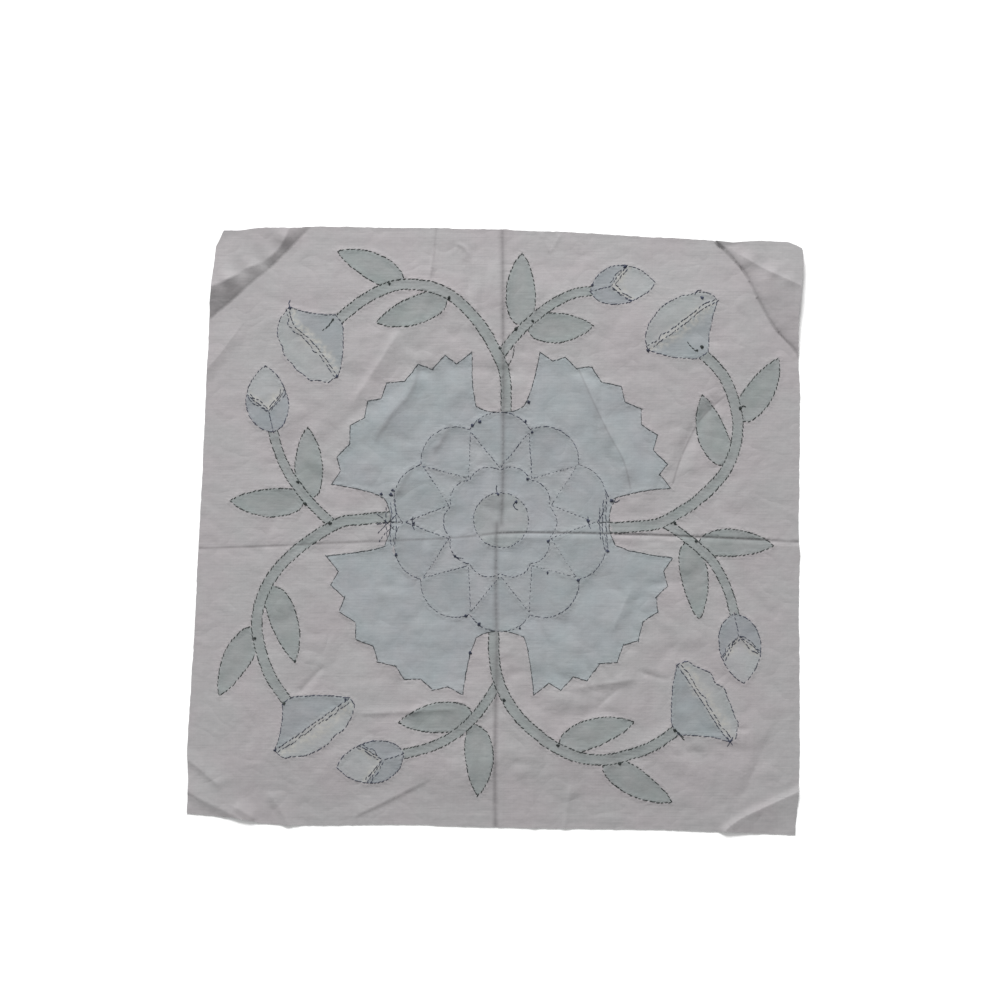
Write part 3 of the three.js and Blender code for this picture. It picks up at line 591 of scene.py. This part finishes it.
def closed_sheet(name, upper, upper_faces, upper_z, under, under_faces, under_z):
    """Joins an upper and an under face, which share their rim, into one closed sheet."""
    points = np.vstack([np.column_stack([upper, upper_z]), np.column_stack([under, under_z])])
    shift = len(upper)
    below = {tuple(np.round(place, 4)): i + shift for i, place in enumerate(under)}
    sides = {(face[i], face[(i + 1) % 3]) for face in upper_faces.tolist() for i in range(3)}
    faces = upper_faces.tolist() + (under_faces[:, ::-1] + shift).tolist()
    for a, b in sides:
        if (b, a) not in sides:
            faces.append((a, below[tuple(np.round(upper[a], 4))],
                          below[tuple(np.round(upper[b], 4))], b))
    return new_piece(name, points, faces)


upper_height = muslin_height(upper)
under_height = muslin_height(under, grooves=False) - MUSLIN_THICK
muslin = closed_sheet(
    "muslin_square", upper, upper_faces, upper_height, under, under_faces, under_height
)

# What shows through: each motif piece tints the muslin over it, up to its stitched edge,
# and more strongly where its turned-in edge makes it two layers thick.
KINDS = {  # tint that shows through, slot and colour of the cloth, thread that it is sewn with
    "leaf": ("#d8e4e1", "green_cotton", "#5f8470", "green"),
    "stem": ("#d9e4e1", "green_cotton", "#587c69", "green"),
    "side_stem": ("#d9e4e1", "green_cotton", "#587c69", "green"),
    "comb": ("#ecf9fc", "blue_cotton", "#7f9aae", "grey"),
    "rose_outer": ("#e4f1f4", "blue_cotton", "#7b95b0", "blue"),
    "rose_inner": ("#ebf6fa", "blue_cotton", "#7f9aae", "blue"),
    "tulip_cup": ("#dfebee", "blue_cotton", "#6f8ca0", "blue"),
    "calyx": ("#dbe5ea", "blue_cotton", "#7389ad", "blue"),
    "rose_star": ("#eef8fb", "lilac_cotton", "#9a9cc6", "blue"),
    "rose_centre": ("#e6f1f1", "lilac_cotton", "#a3a2c8", "blue"),
    "tulip_petal": ("#f1f9f8", "cream_cotton", "#d9d3bf", "blue"),
    "bud_tip": ("#f8ffff", "cream_cotton", "#d9d3bf", "blue"),
}


def linear(colour):
    """An sRGB hex colour as linear red, green, blue and alpha."""
    values = [int(colour[i : i + 2], 16) / 255 for i in (1, 3, 5)]
    parts = [v / 12.92 if v <= 0.04045 else ((v + 0.055) / 1.055) ** 2.4 for v in values]
    return (*parts, 1.0)


TURNED_START, TURNED_STOP = (0.2, 0.8), (4.2, 5.8)  # band inside an edge where a piece is double
tint = np.ones((len(upper), 3))
double = np.zeros(len(upper))
covers = np.full(len(upper), -1)  # the number of the motif piece that lies under each point
for name in reversed(motif):
    within = inside(upper, outline[name])
    covers[within] = motif.index(name)
    tint[within] = linear(KINDS[family(name)][0])[:3]
    if any(owner == name for owner, _ in seams):
        own = np.vstack([line for owner, line in seams if owner == name])
        near = np.flatnonzero(within)
        away, _ = nearest(upper[near], near_tree(own))
        double[near] = smooth_step(away, *TURNED_START) * (1 - smooth_step(away, *TURNED_STOP))

# Pale raw edges lie along the joins of the flowers, the muslin puckers beside its stitches,
# and the sharpest folds are darkened with painted shade.
PALE = {  # how far the pale scraps reach, and how far they lie towards the paler piece
    ("1", "tulip"): (8.0, -0.25), ("2", "tulip"): (9.0, 0.55), ("3", "tulip"): (8.5, 0.5),
    ("4", "tulip"): (8.0, -0.1), **{(arm, "bud"): (5.0, 0.4) for arm in ARMS},
}
PUCKER_START, PUCKER_REACH = 0.8, 3.6
pale = np.zeros(len(upper))
for arm, kind, line, aside in joins:
    reach, towards = PALE[arm, kind]
    away, closest = nearest(upper, near_tree(line + aside * towards * reach))
    reach = reach * (0.35 + 0.65 * np.sin(math.pi * closest / (len(line) - 1)))
    reach *= 0.6 + 0.8 * soft_noise(upper, 7.0, 51)
    parts = ("tulip",) if kind == "tulip" else ("calyx", "bud")
    flower = [i for i, name in enumerate(motif) if name.startswith(parts) and arm in name]
    own = np.isin(covers, flower)
    pale = np.maximum(pale, own * (1 - smooth_step(away / reach, 0.3, 1.0)))
beside, _ = nearest(upper, seam_tree)
puckered = 1 - smooth_step(beside, PUCKER_START, PUCKER_REACH)
# Painted shade along the listed folds, darkest on each fold's line.
dusty = np.zeros(len(upper))
for name, _, _, _, _, _, points in CREASES:
    if name in SHADED_FOLDS:
        dark, half = SHADED_FOLDS[name]
        away, _ = nearest(upper, near_tree(curve_through(points)))
        dusty = np.maximum(dusty, dark * np.clip(1 - away / half, 0, 1))


def keep_on_muslin(name, kind, values):
    """Stores a value, or a colour, at each point of the muslin's upper face."""
    count = len(muslin.data.vertices)
    layer = muslin.data.attributes.new(name, kind, "POINT")
    if kind == "FLOAT_COLOR":
        whole = np.ones((count, 4))
        whole[: len(upper), :3] = values
        layer.data.foreach_set("color", whole.ravel())
    else:
        whole = np.zeros(count)
        whole[: len(upper)] = values
        layer.data.foreach_set("value", whole)


keep_on_muslin("show_through", "FLOAT_COLOR", tint)
# The last of these values is the painted shade along the folds.
for name, values in (
    ("turned_in", double), ("pale_edge", pale), ("puckered", puckered), ("dusty", dusty)
):
    keep_on_muslin(name, "FLOAT", values)


def add_node(tree, kind, values=(), links=(), **settings):
    """Adds a node, with its settings, its sockets' values and the links into it."""
    node = tree.nodes.new(kind)
    for key, value in settings.items():
        setattr(node, key, value)
    for socket, value in dict(values).items():
        node.inputs[socket].default_value = value
    for socket, source in dict(links).items():
        tree.links.new(source, node.inputs[socket])
    return node


def new_material(name):
    material = bpy.data.materials.new(name)
    material.use_nodes = True
    tree = material.node_tree
    tree.nodes.clear()
    return material, tree


def noise(tree, place, scale, detail, **more):
    """A soft pattern from 0 to 1, mostly near a half."""
    values = {"Scale": scale, "Detail": detail, **more}
    return add_node(tree, "ShaderNodeTexNoise", values, {"Vector": place}).outputs["Fac"]


def spread(tree, value, low, high, least=0.0, most=1.0):
    """A value's range from low to high, spread out from least to most."""
    values = {"From Min": low, "From Max": high, "To Min": least, "To Max": most}
    return add_node(tree, "ShaderNodeMapRange", values, {"Value": value}).outputs[0]


def worked_out(tree, operation, first, second=None):
    """Sum, product or the like of a link and a number, of two links, or of a link alone."""
    values, links = {}, {0: first}
    if second is not None:
        (links if isinstance(second, bpy.types.NodeSocket) else values)[1] = second
    return add_node(tree, "ShaderNodeMath", values, links, operation=operation).outputs[0]


def mixed(tree, fac, first, second, mode="MIX"):
    """The second colour over the first, by an amount that is a number or a link."""
    values, links = {}, {}
    for socket, given in ((0, fac), (6, first), (7, second)):
        (links if isinstance(given, bpy.types.NodeSocket) else values)[socket] = given
    return add_node(
        tree, "ShaderNodeMix", values, links, data_type="RGBA", blend_type=mode
    ).outputs[2]


def raised(tree, height, strength, distance, under=None):
    """A bump, over another bump where there is one."""
    links = {"Height": height} if under is None else {"Height": height, "Normal": under}
    values = {"Strength": strength, "Distance": distance}
    return add_node(tree, "ShaderNodeBump", values, links).outputs[0]


def surface(tree, values, links=()):
    """Ends a material with its shader."""
    shader = add_node(tree, "ShaderNodeBsdfPrincipled", values, links)
    add_node(tree, "ShaderNodeOutputMaterial", (), {"Surface": shader.outputs[0]})


# Plain weave. The real threads are 0.45 mm apart; they are drawn about 1 mm apart so that
# they show.
WEAVE, FINE_WEAVE = 1.1 * MM, 0.9 * MM
THREAD_WAVE = 0.314  # the wave pattern's scale that puts its threads one unit apart
THREAD_HEIGHT = 0.05 * MM


def weave_bump(tree, place, pitch, strength):
    """Raised threads both ways, with uneven thickness, as a bump."""
    wobble = add_node(tree, "ShaderNodeTexNoise", {"Scale": 90.0, "Detail": 2.0}, {"Vector": place})
    shaken = add_node(
        tree, "ShaderNodeVectorMath", {1: (pitch * 1.2,) * 3}, {0: wobble.outputs["Color"]},
        operation="MULTIPLY",
    )
    moved = add_node(
        tree, "ShaderNodeVectorMath", (), {0: place, 1: shaken.outputs[0]}, operation="ADD"
    )
    threads = []
    for direction in ("X", "Y"):
        wave = add_node(
            tree, "ShaderNodeTexWave", {"Scale": THREAD_WAVE / pitch, "Distortion": 0.0},
            {"Vector": moved.outputs[0]}, bands_direction=direction,
        )
        threads.append(wave.outputs["Fac"])
    return raised(tree, worked_out(tree, "ADD", *threads), strength, THREAD_HEIGHT)


# Marks of single threads in the muslin: how the noise is stretched, its detail, the range of
# it that shows, how strongly it shows, and its colour.
THREAD_MARKS = (
    ((26.0, 900.0, 1.0), 3.0, 0.35, 0.7, 0.11, "#b9b3b2"),  # paler weft
    ((800.0, 20.0, 1.0), 2.0, 0.35, 0.7, 0.08, "#807d7e"),  # darker warp
    ((55.0, 1000.0, 1.0), 0.0, 0.67, 0.8, 0.16, "#b5b1b0"),  # slubs, which are thicker threads
    ((55.0, 1000.0, 1.0), 0.0, 0.33, 0.2, 0.16, "#6d6a6c"),  # and the gaps beside them
)


def muslin_material():
    """Unbleached cotton muslin, greyed with age: matt plain weave with slubs and a fine nap."""
    material, tree = new_material("unbleached cotton muslin")
    place = add_node(tree, "ShaderNodeTexCoord").outputs["Object"]
    seen, turned, pale, fold_shade, near = (
        add_node(tree, "ShaderNodeAttribute", attribute_name=name)
        for name in ("show_through", "turned_in", "pale_edge", "dusty", "puckered")
    )
    cloud = spread(tree, noise(tree, place, 24.0, 5.0), 0.38, 0.62)
    colour = mixed(tree, cloud, linear("#989496"), linear("#969596"))
    for stretch, detail, low, high, most, tone in THREAD_MARKS:
        along = add_node(tree, "ShaderNodeMapping", {"Scale": stretch}, {"Vector": place}).outputs[0]
        mark = spread(tree, noise(tree, along, 1.0, detail), low, high, 0.0, most)
        colour = mixed(tree, mark, colour, linear(tone))
    nap = spread(tree, noise(tree, place, 420.0, 3.0), 0.3, 0.7, 0.0, 0.10)
    colour = mixed(tree, nap, colour, linear("#7c7a7b"))
    contact = spread(tree, noise(tree, place, 75.0, 3.0), 0.3, 0.7, 0.72, 1.0)
    colour = mixed(tree, contact, colour, seen.outputs["Color"], "MULTIPLY")
    band = worked_out(tree, "MULTIPLY", turned.outputs["Fac"], 0.14)
    colour = mixed(tree, band, colour, linear("#7b8384"))
    scraps = spread(tree, noise(tree, place, 330.0, 3.0), 0.42, 0.62, 0.2, 0.9)
    paleness = worked_out(tree, "MULTIPLY", pale.outputs["Fac"], scraps)
    colour = mixed(tree, paleness, colour, linear("#9d9c98"))
    # Painted shade darkens the muslin along the sharpest folds.
    fold_shade_amount = worked_out(tree, "MULTIPLY", fold_shade.outputs["Fac"], 0.48)
    colour = mixed(tree, fold_shade_amount, colour, linear("#5a5658"))
    bump = weave_bump(tree, place, WEAVE, 0.2)
    bump = raised(tree, noise(tree, place, 120.0, 4.0), 0.5, 0.9 * MM, bump)
    folds = worked_out(tree, "SUBTRACT", noise(tree, place, 42.0, 1.0, Distortion=0.5), 0.5)
    bump = raised(tree, worked_out(tree, "ABSOLUTE", folds), 0.5, 2.2 * MM, bump)
    gathers = worked_out(tree, "MULTIPLY", noise(tree, place, 380.0, 2.0), near.outputs["Fac"])
    bump = raised(tree, gathers, 0.7, 0.8 * MM, bump)
    surface(
        tree,
        {"Roughness": 0.94, "Specular IOR Level": 0.12, "Sheen Weight": 0.05, "Sheen Roughness": 0.6},
        {"Base Color": colour, "Normal": bump},
    )
    return material


SHORTEST_SIDE = 10.0  # of a cut piece, as its flat size states it


def laid(piece, node, flat, area):
    """Works out a cloth's flat size and area but keeps neither, attaches the cloth to the root body, and
    hides the node that it stands for.
    """
    width, length = flat
    area = min(area, 0.999 * width * length)
    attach(piece, "root")
    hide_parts(node)


def cut_size(loop):
    """Area of a closed line, and the sides of the smallest turned rectangle that holds it."""
    x, y = loop.T
    area = 0.5 * abs(np.dot(x, np.roll(y, -1)) - np.dot(y, np.roll(x, -1)))
    sides = []
    for angle in np.linspace(0, math.pi / 2, 46)[:-1]:
        u = x * math.cos(angle) + y * math.sin(angle)
        v = y * math.cos(angle) - x * math.sin(angle)
        sides.append((max(np.ptp(u), SHORTEST_SIDE), max(np.ptp(v), SHORTEST_SIDE)))
    return area, min(sides, key=lambda pair: pair[0] * pair[1])


muslin.data.materials.append(muslin_material())
area, flat_size = cut_size(rim)
laid(muslin, "base_cloth", flat_size, area)

# Motif pieces. Quilting cotton in shades of four plain colours, each piece cut to its
# template and laid on the muslin's right side, so here they are underneath. The narrow
# allowance that is turned in behind each shows only as a tint.

PATCH_THICK = 0.24
PATCH_GAP = 0.05
LAYER_STEP = 0.27  # each layer of the rose lies under the one before
LAYERS = {"rose_outer": 0, "rose_star": 1, "rose_inner": 2, "rose_centre": 3}
EDGE_ROUND = 0.35  # how far in the turned edge is rounded
EDGE_THIN, EDGE_DROP = 0.35, 0.32  # a piece's thickness at its edge and how far it drops, as shares
PATCH_STEP, PATCH_CLOSEST = 1.6, 0.7  # spacing of an edge's points
ROUND_CLOSEST, PATCH_FROM_EDGE = 0.3, 1.2
STRIP_WIDTH = {"stem": 8.0, "side_stem": 7.0}


def cotton_material(name, colour):
    """Quilting cotton: a fine even weave, dyed in the piece, matt with a little sheen."""
    material, tree = new_material(f"quilting cotton {name}")
    place = add_node(tree, "ShaderNodeTexCoord").outputs["Object"]
    faded = tuple(0.75 * c + 0.25 * 0.6 for c in linear(colour)[:3]) + (1.0,)
    shade = mixed(tree, noise(tree, place, 30.0, 4.0), linear(colour), faded)
    surface(
        tree, {"Roughness": 0.88, "Specular IOR Level": 0.25, "Sheen Weight": 0.2},
        {"Base Color": shade, "Normal": weave_bump(tree, place, FINE_WEAVE, 0.3)},
    )
    return material


dyed = {}
for _, slot, colour, _ in KINDS.values():
    if (slot, colour) not in dyed:
        dyed[slot, colour] = cotton_material(slot.split("_")[0], colour)

for name in motif:
    closed = np.vstack([outline[name], outline[name][:1]])
    loop = np.array(thinned([every(closed, PATCH_STEP)], PATCH_CLOSEST))
    turned = loop + leftward(np.vstack([loop[-1:], loop, loop[:1]]))[1:-1] * EDGE_ROUND
    turned = turned[inside(turned, loop)]
    middle = under_points(loop, near_tree(loop), PATCH_FROM_EDGE)
    flat, faces = triangulated(loop, thinned([turned, middle], ROUND_CLOSEST))
    kind = family(name)
    top = muslin_height(flat, grooves=False) - MUSLIN_THICK - PATCH_GAP
    top -= LAYER_STEP * LAYERS.get(kind, 0)
    at_edge = np.arange(len(flat)) < len(loop)
    thick = PATCH_THICK * np.where(at_edge, EDGE_THIN, 1.0)
    top -= PATCH_THICK * np.where(at_edge, EDGE_DROP, 0.0)
    piece = closed_sheet(name + "_cloth", flat, faces, top, flat, faces, top - thick)
    _, slot, colour, _ = KINDS[kind]
    piece.data.materials.append(dyed[slot, colour])
    area, flat_size = cut_size(loop)
    if kind in STRIP_WIDTH:  # a strip is cut straight and bent round as it is sewn
        flat_size = (SHORTEST_SIDE, area / STRIP_WIDTH[kind])
    laid(piece, name, flat_size, area)

# Stitches. Two strands of sewing cotton, dark green on leaves and vines and
# grey-blue elsewhere, worked by hand at about eight to the inch. On this side
# each stitch shows as a short slanting dash, sunk at both its ends.

STITCH_PITCH = 3.1
HAND_STRAY = 0.28  # how far the needle strays from the drawn line
RINGS = ((-1.0, 0.4, 0.0), (-0.45, 1.0, 1.0), (0.45, 1.0, 1.0), (1.0, 0.4, 0.0))
RAISED = 0.1  # how far the middle of a stitch lies over the muslin
SIDES = 5
THREADS = {  # thread colour, radius, stitch length, slant in radians, depth of its ends
    "green": ("#0f1817", 0.34, 3.1, 0.22, -0.12),
    "grey": ("#23292d", 0.29, 3.9, 0.05, -0.02),
    "blue": ("#1c2134", 0.30, 3.1, 0.16, -0.08),
}


def sewing_cotton(name, colour):
    """Twisted cotton thread, dyed: dark, with paler patches painted on as highlights of its twist."""
    material, tree = new_material(f"twisted sewing cotton {name}")
    place = add_node(tree, "ShaderNodeTexCoord").outputs["Object"]
    # The paler patches mixed in below are painted highlights on the thread.
    pale = tuple(min(1.0, 2.2 * c + 0.02) for c in linear(colour)[:3]) + (1.0,)
    highlight_patches = spread(tree, noise(tree, place, 160.0, 2.0), 0.45, 0.8)
    shade = mixed(tree, highlight_patches, linear(colour), pale)
    twist = add_node(
        tree, "ShaderNodeTexWave", {"Scale": 320.0}, {"Vector": place}, bands_direction="DIAGONAL"
    )
    bump = raised(tree, twist.outputs["Fac"], 0.4, 0.1 * MM)
    surface(
        tree, {"Roughness": 0.7, "Specular IOR Level": 0.3, "Sheen Weight": 0.2},
        {"Base Color": shade, "Normal": bump},
    )
    return material


thread = {name: sewing_cotton(name, row[0]) for name, row in THREADS.items()}


# How uneven the hand is: where a stitch falls, as a share of the pitch, how far it lies to one
# side, and by how much its slant, length and thickness differ.
FALLS, ASIDE = 0.24, 0.22
SLANTS, LENGTHS, STOUT = (0.4, 1.4), (0.7, 1.2), (0.7, 1.25)


def stitch_row(line, pitch, length, slant, radius, dice):
    """Centre, heading, half length and radius of each stitch along a line."""
    count = max(1, round(len(line) * LINE_STEP / pitch))
    room = len(line) * LINE_STEP / count
    rows = []
    for i in range(count):
        at = (i + 0.5 + dice.uniform(-FALLS, FALLS)) / count * (len(line) - 1)
        step = int(np.clip(at, 1, len(line) - 2))
        run = line[step + 1] - line[step - 1]
        angle = math.atan2(run[1], run[0]) + slant * dice.uniform(*SLANTS)
        side = dice.uniform(-ASIDE, ASIDE)
        x, y = line[step] + side * np.array([-math.sin(angle), math.cos(angle)])
        half = 0.5 * length * min(1.0, room / pitch) * dice.uniform(*LENGTHS)
        rows.append((x, y, angle, half, radius * dice.uniform(*STOUT)))
    return rows


def sewn(name, rows, colour):
    """All the stitches of one thread as one piece."""
    rows = np.array(rows)
    x, y, angle, half, radius = rows.T
    along = np.column_stack([np.cos(angle), np.sin(angle)])
    aside = np.column_stack([-np.sin(angle), np.cos(angle)])
    points = np.zeros((len(rows), len(RINGS) * SIDES, 3))
    sunk = THREADS[colour][4]
    for r, (reach, swell, raised) in enumerate(RINGS):
        lift = sunk + (RAISED - sunk) * raised
        centre = np.column_stack([x, y]) + along * (half * reach)[:, None]
        surface = muslin_height(centre)
        for s in range(SIDES):
            turn = 2 * math.pi * s / SIDES + math.pi / 2
            out = math.cos(turn) * swell * radius
            points[:, r * SIDES + s, :2] = centre + aside * out[:, None]
            points[:, r * SIDES + s, 2] = surface + lift + math.sin(turn) * swell * radius
    pattern = []
    for r in range(len(RINGS) - 1):
        for s in range(SIDES):
            a, b = r * SIDES + s, r * SIDES + (s + 1) % SIDES
            pattern.append((a, a + SIDES, b + SIDES, b))
    pattern.append(tuple(range(SIDES)))
    pattern.append(tuple(reversed(range((len(RINGS) - 1) * SIDES, len(RINGS) * SIDES))))
    faces = [
        tuple(i + n * len(RINGS) * SIDES for i in face) for n in range(len(rows)) for face in pattern
    ]
    piece = new_piece(name, points.reshape(-1, 3), faces)
    piece.data.materials.append(thread[colour])
    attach(piece, "root")
    return piece


# In the rose the stitches are pulled in and fade here and there: by how much they thin and
# shorten.
FADING = {
    "rose_star": (0.55, 0.6), "rose_inner": (0.4, 0.3), "rose_outer": (0.45, 0.0),
    "rose_centre": (0.3, 0.4),
}
FADING_SIZE = 13.0

# The second rows along the joins, and short rows that were sewn again.
SECOND_ROW = {  # how far each further row lies from the join, and how far it strays
    "tulip": [(2.7, 1.1)],
    "bud": [(2.0, 1.2), (-1.4, 1.5)],
}
AGAIN = (
    # thread, and its lines
    ("green", [[(15, 144), (13.3, 134), (10, 128)]]),
    ("blue", [
        [(-77.5, 24), (-76.5, 12), (-76.5, 0), (-77.5, -11)],
        [(84, 24), (83.5, 10), (83.5, -4), (85, -15)],
        [(-80.5, 22), (-80, 11), (-81, -2), (-80, -12)],
        [(-84, 18), (-84.5, 6), (-83, -6)],
        [(-92, 5), (-86, 6), (-78, 6.5)],
        [(-90, -9), (-85, -2), (-77, 4)],
        [(86.5, 22), (86, 9), (86.5, -3), (87.5, -14)],
        [(81.5, 18), (81, 6), (82, -7)],
        [(-91, -2), (-84, 5), (-76, 13)],
        [(-91, 13), (-84, 7), (-77, 0)],
    ]),
    ("green", [
        [(-126, 163), (-131, 157), (-134, 155)],
        [(156, 139), (152, 143), (149, 147)],
        [(140, -154), (144, -159), (147, -163)],
    ]),
)
dice = random.Random(5)


def running(line, colour, stoutness=1.0):
    """A row of running stitches in one of the threads."""
    _, radius, length, slant, _ = THREADS[colour]
    return stitch_row(line, STITCH_PITCH, length, slant, radius * stoutness, dice)


rows = {"green": [], "grey": [], "blue": []}
for name, line in seams:
    colour = KINDS[family(name)][3]
    row = running(strayed(line, HAND_STRAY, 8.0, 31), colour)
    if name in FADING:
        thin, short = FADING[name]
        sunk = soft_noise(np.array(row)[:, :2], FADING_SIZE, 61)
        row = [
            (x, y, angle, half * (1 - short * fade), stout * (1 - thin * fade))
            for (x, y, angle, half, stout), fade in zip(row, sunk)
        ]
    rows[colour] += row
for arm, kind, line, aside in joins:
    for i, (away, stray) in enumerate(SECOND_ROW[kind]):
        again = strayed(line + aside * away, stray, 5.0, 41 + int(arm) + 7 * i)[3:-3]
        rows["blue"] += running(again, "blue", 1 - 0.15 * i)
for colour, lines in AGAIN:
    for line in map(curve_through, lines):
        rows[colour] += running(line, colour)

# Knots, where a thread starts or ends: a few turns on top of each other, some with a loose
# end lying on the muslin.
KNOTS = {
    "green": [
        (-82, 191.5), (-35.5, 180.5), (16.5, 156.5), (29.5, 162.5), (4, 141.5), (-125.5, 163.5),
        (190, 95), (160.5, 142.5), (156.5, 139.5), (49, -166), (139.5, -154.5), (-163.5, -133.5),
        (-155, -101), (-186, -83), (-127.5, 6), (7, -131), (156, -8), (97, -180), (139.5, 6),
        (-147, 21), (-152.5, 38),
    ],
    "blue": [
        (-122.5, 119.5), (118.5, 140), (-158.5, 172.5), (-115.5, -130.5), (-170.5, -170),
        (160.5, 180.5), (101, 205), (75.5, 190.5), (-12, 84.5), (-17.5, 81.5), (24, 85),
        (26, 99.8), (29, 76.5), (25.5, 40), (-79, 31.5), (-88, 28.5), (-80.5, 28), (-76.5, -18.5),
        (41, -8), (87.5, -15.5), (41, -32.5), (64.5, -38), (-22.5, -66), (-12.4, -72.2),
        (19.5, -75.5), (-19.1, -94.5), (72, 8), (90.5, 23.5), (2.5, 28.5), (16.5, 22.5),
        (-31, -19.5), (182, -163), (-63, 6),
    ],
}
TAILS = {
    "green": [
        [(-125.5, 163.5), (-128, 160), (-131, 157)],
        [(190, 95), (192, 96.5), (195, 96)],
        [(139.5, -154.5), (143, -157), (146, -160)],
    ],
    "blue": [
        [(-158.5, 172.5), (-159.5, 176), (-158.5, 179)],
        [(155, 183), (157, 186), (160, 186.5)],
        [(-63.5, 11), (-64, 6), (-62.5, 1)],
        [(72, 11), (72.5, 6), (74, 2)],
        [(86, 31), (87, 28), (88.5, 26)],
        [(91, 23), (94, 22.5), (96.5, 24)],
        [(2.5, 28.5), (1.2, 31.5), (1.7, 35)],
        [(16.5, 22.5), (14.5, 20), (15.7, 17.5), (18, 16)],
        [(-31, -19.5), (-28, -21), (-24.5, -21)],
        [(180, -160), (184, -166)],
        [(184.5, -160), (180, -167)],
    ],
}
KNOT_TURNS, KNOT_STRAY = 4, 0.4
KNOT_SIZES, KNOT_HALF, KNOT_STOUT = (0.75, 1.25), 1.15, 2.1
TAIL_STEP, TAIL_LENGTH, TAIL_SLANT = 1.1, 2.0, 0.1
for colour, places in KNOTS.items():
    radius = THREADS[colour][1]
    for x, y in places:
        size = dice.uniform(*KNOT_SIZES)
        for _ in range(KNOT_TURNS):
            across, up = (dice.uniform(-KNOT_STRAY, KNOT_STRAY) for _ in "xy")
            angle = dice.uniform(0, math.pi)
            rows[colour].append(
                (x + across, y + up, angle, KNOT_HALF * size, radius * KNOT_STOUT * size)
            )
for colour, lines in TAILS.items():
    for line in map(curve_through, lines):
        stout = THREADS[colour][1]
        rows[colour] += stitch_row(line, TAIL_STEP, TAIL_LENGTH, TAIL_SLANT, stout, dice)

for colour, found in rows.items():
    piece = sewn(f"stitches_{colour}", found, colour)

# Table top, light and camera. A plain white table, a window's soft light from the
# far side at a low angle, and a camera straight above.

ROOM_LIGHT = 0.50
WINDOW_POWER = 540.0
WINDOW_PLACE = (-0.75, 5.0, 2.72)
TABLE_SIZE = 4.0

bpy.ops.object.select_all(action="DESELECT")
bpy.ops.mesh.primitive_plane_add(size=TABLE_SIZE, location=(0, 0, 0))
table = bpy.context.object
table.name = "table"
table.data.transform(table.matrix_world)
table.matrix_world.identity()
white, tree = new_material("white laminate")
surface(tree, {"Base Color": linear("#fbfbfb"), "Roughness": 0.8})
table.data.materials.append(white)

world = bpy.data.worlds.new("soft room")
bpy.context.scene.world = world
world.use_nodes = True
world.node_tree.nodes["Background"].inputs[0].default_value = (1, 1, 1, 1)
world.node_tree.nodes["Background"].inputs[1].default_value = ROOM_LIGHT

window = bpy.data.lights.new("window", "AREA")
window.shape = "RECTANGLE"
window.size, window.size_y = 2.2, 1.5
window.energy = WINDOW_POWER
lamp = bpy.data.objects.new("window", window)
lamp.location = WINDOW_PLACE
lamp.rotation_euler = Vector(WINDOW_PLACE).to_track_quat("Z", "Y").to_euler()
bpy.context.scene.collection.objects.link(lamp)

FRAME_WIDTH = 0.775  # what the picture spans on the cloth
CLOTH_TOP = 0.0018
CAMERA_PLACE = (0.0040, 0.0239, 1.9)
camera = bpy.data.cameras.new("camera")
camera.sensor_width = 36.0
camera.lens = camera.sensor_width * (CAMERA_PLACE[2] - CLOTH_TOP) / FRAME_WIDTH
eye = bpy.data.objects.new("camera", camera)
eye.location = CAMERA_PLACE
bpy.context.scene.collection.objects.link(eye)
bpy.context.scene.camera = eye
bpy.context.scene.view_settings.view_transform = "Standard"
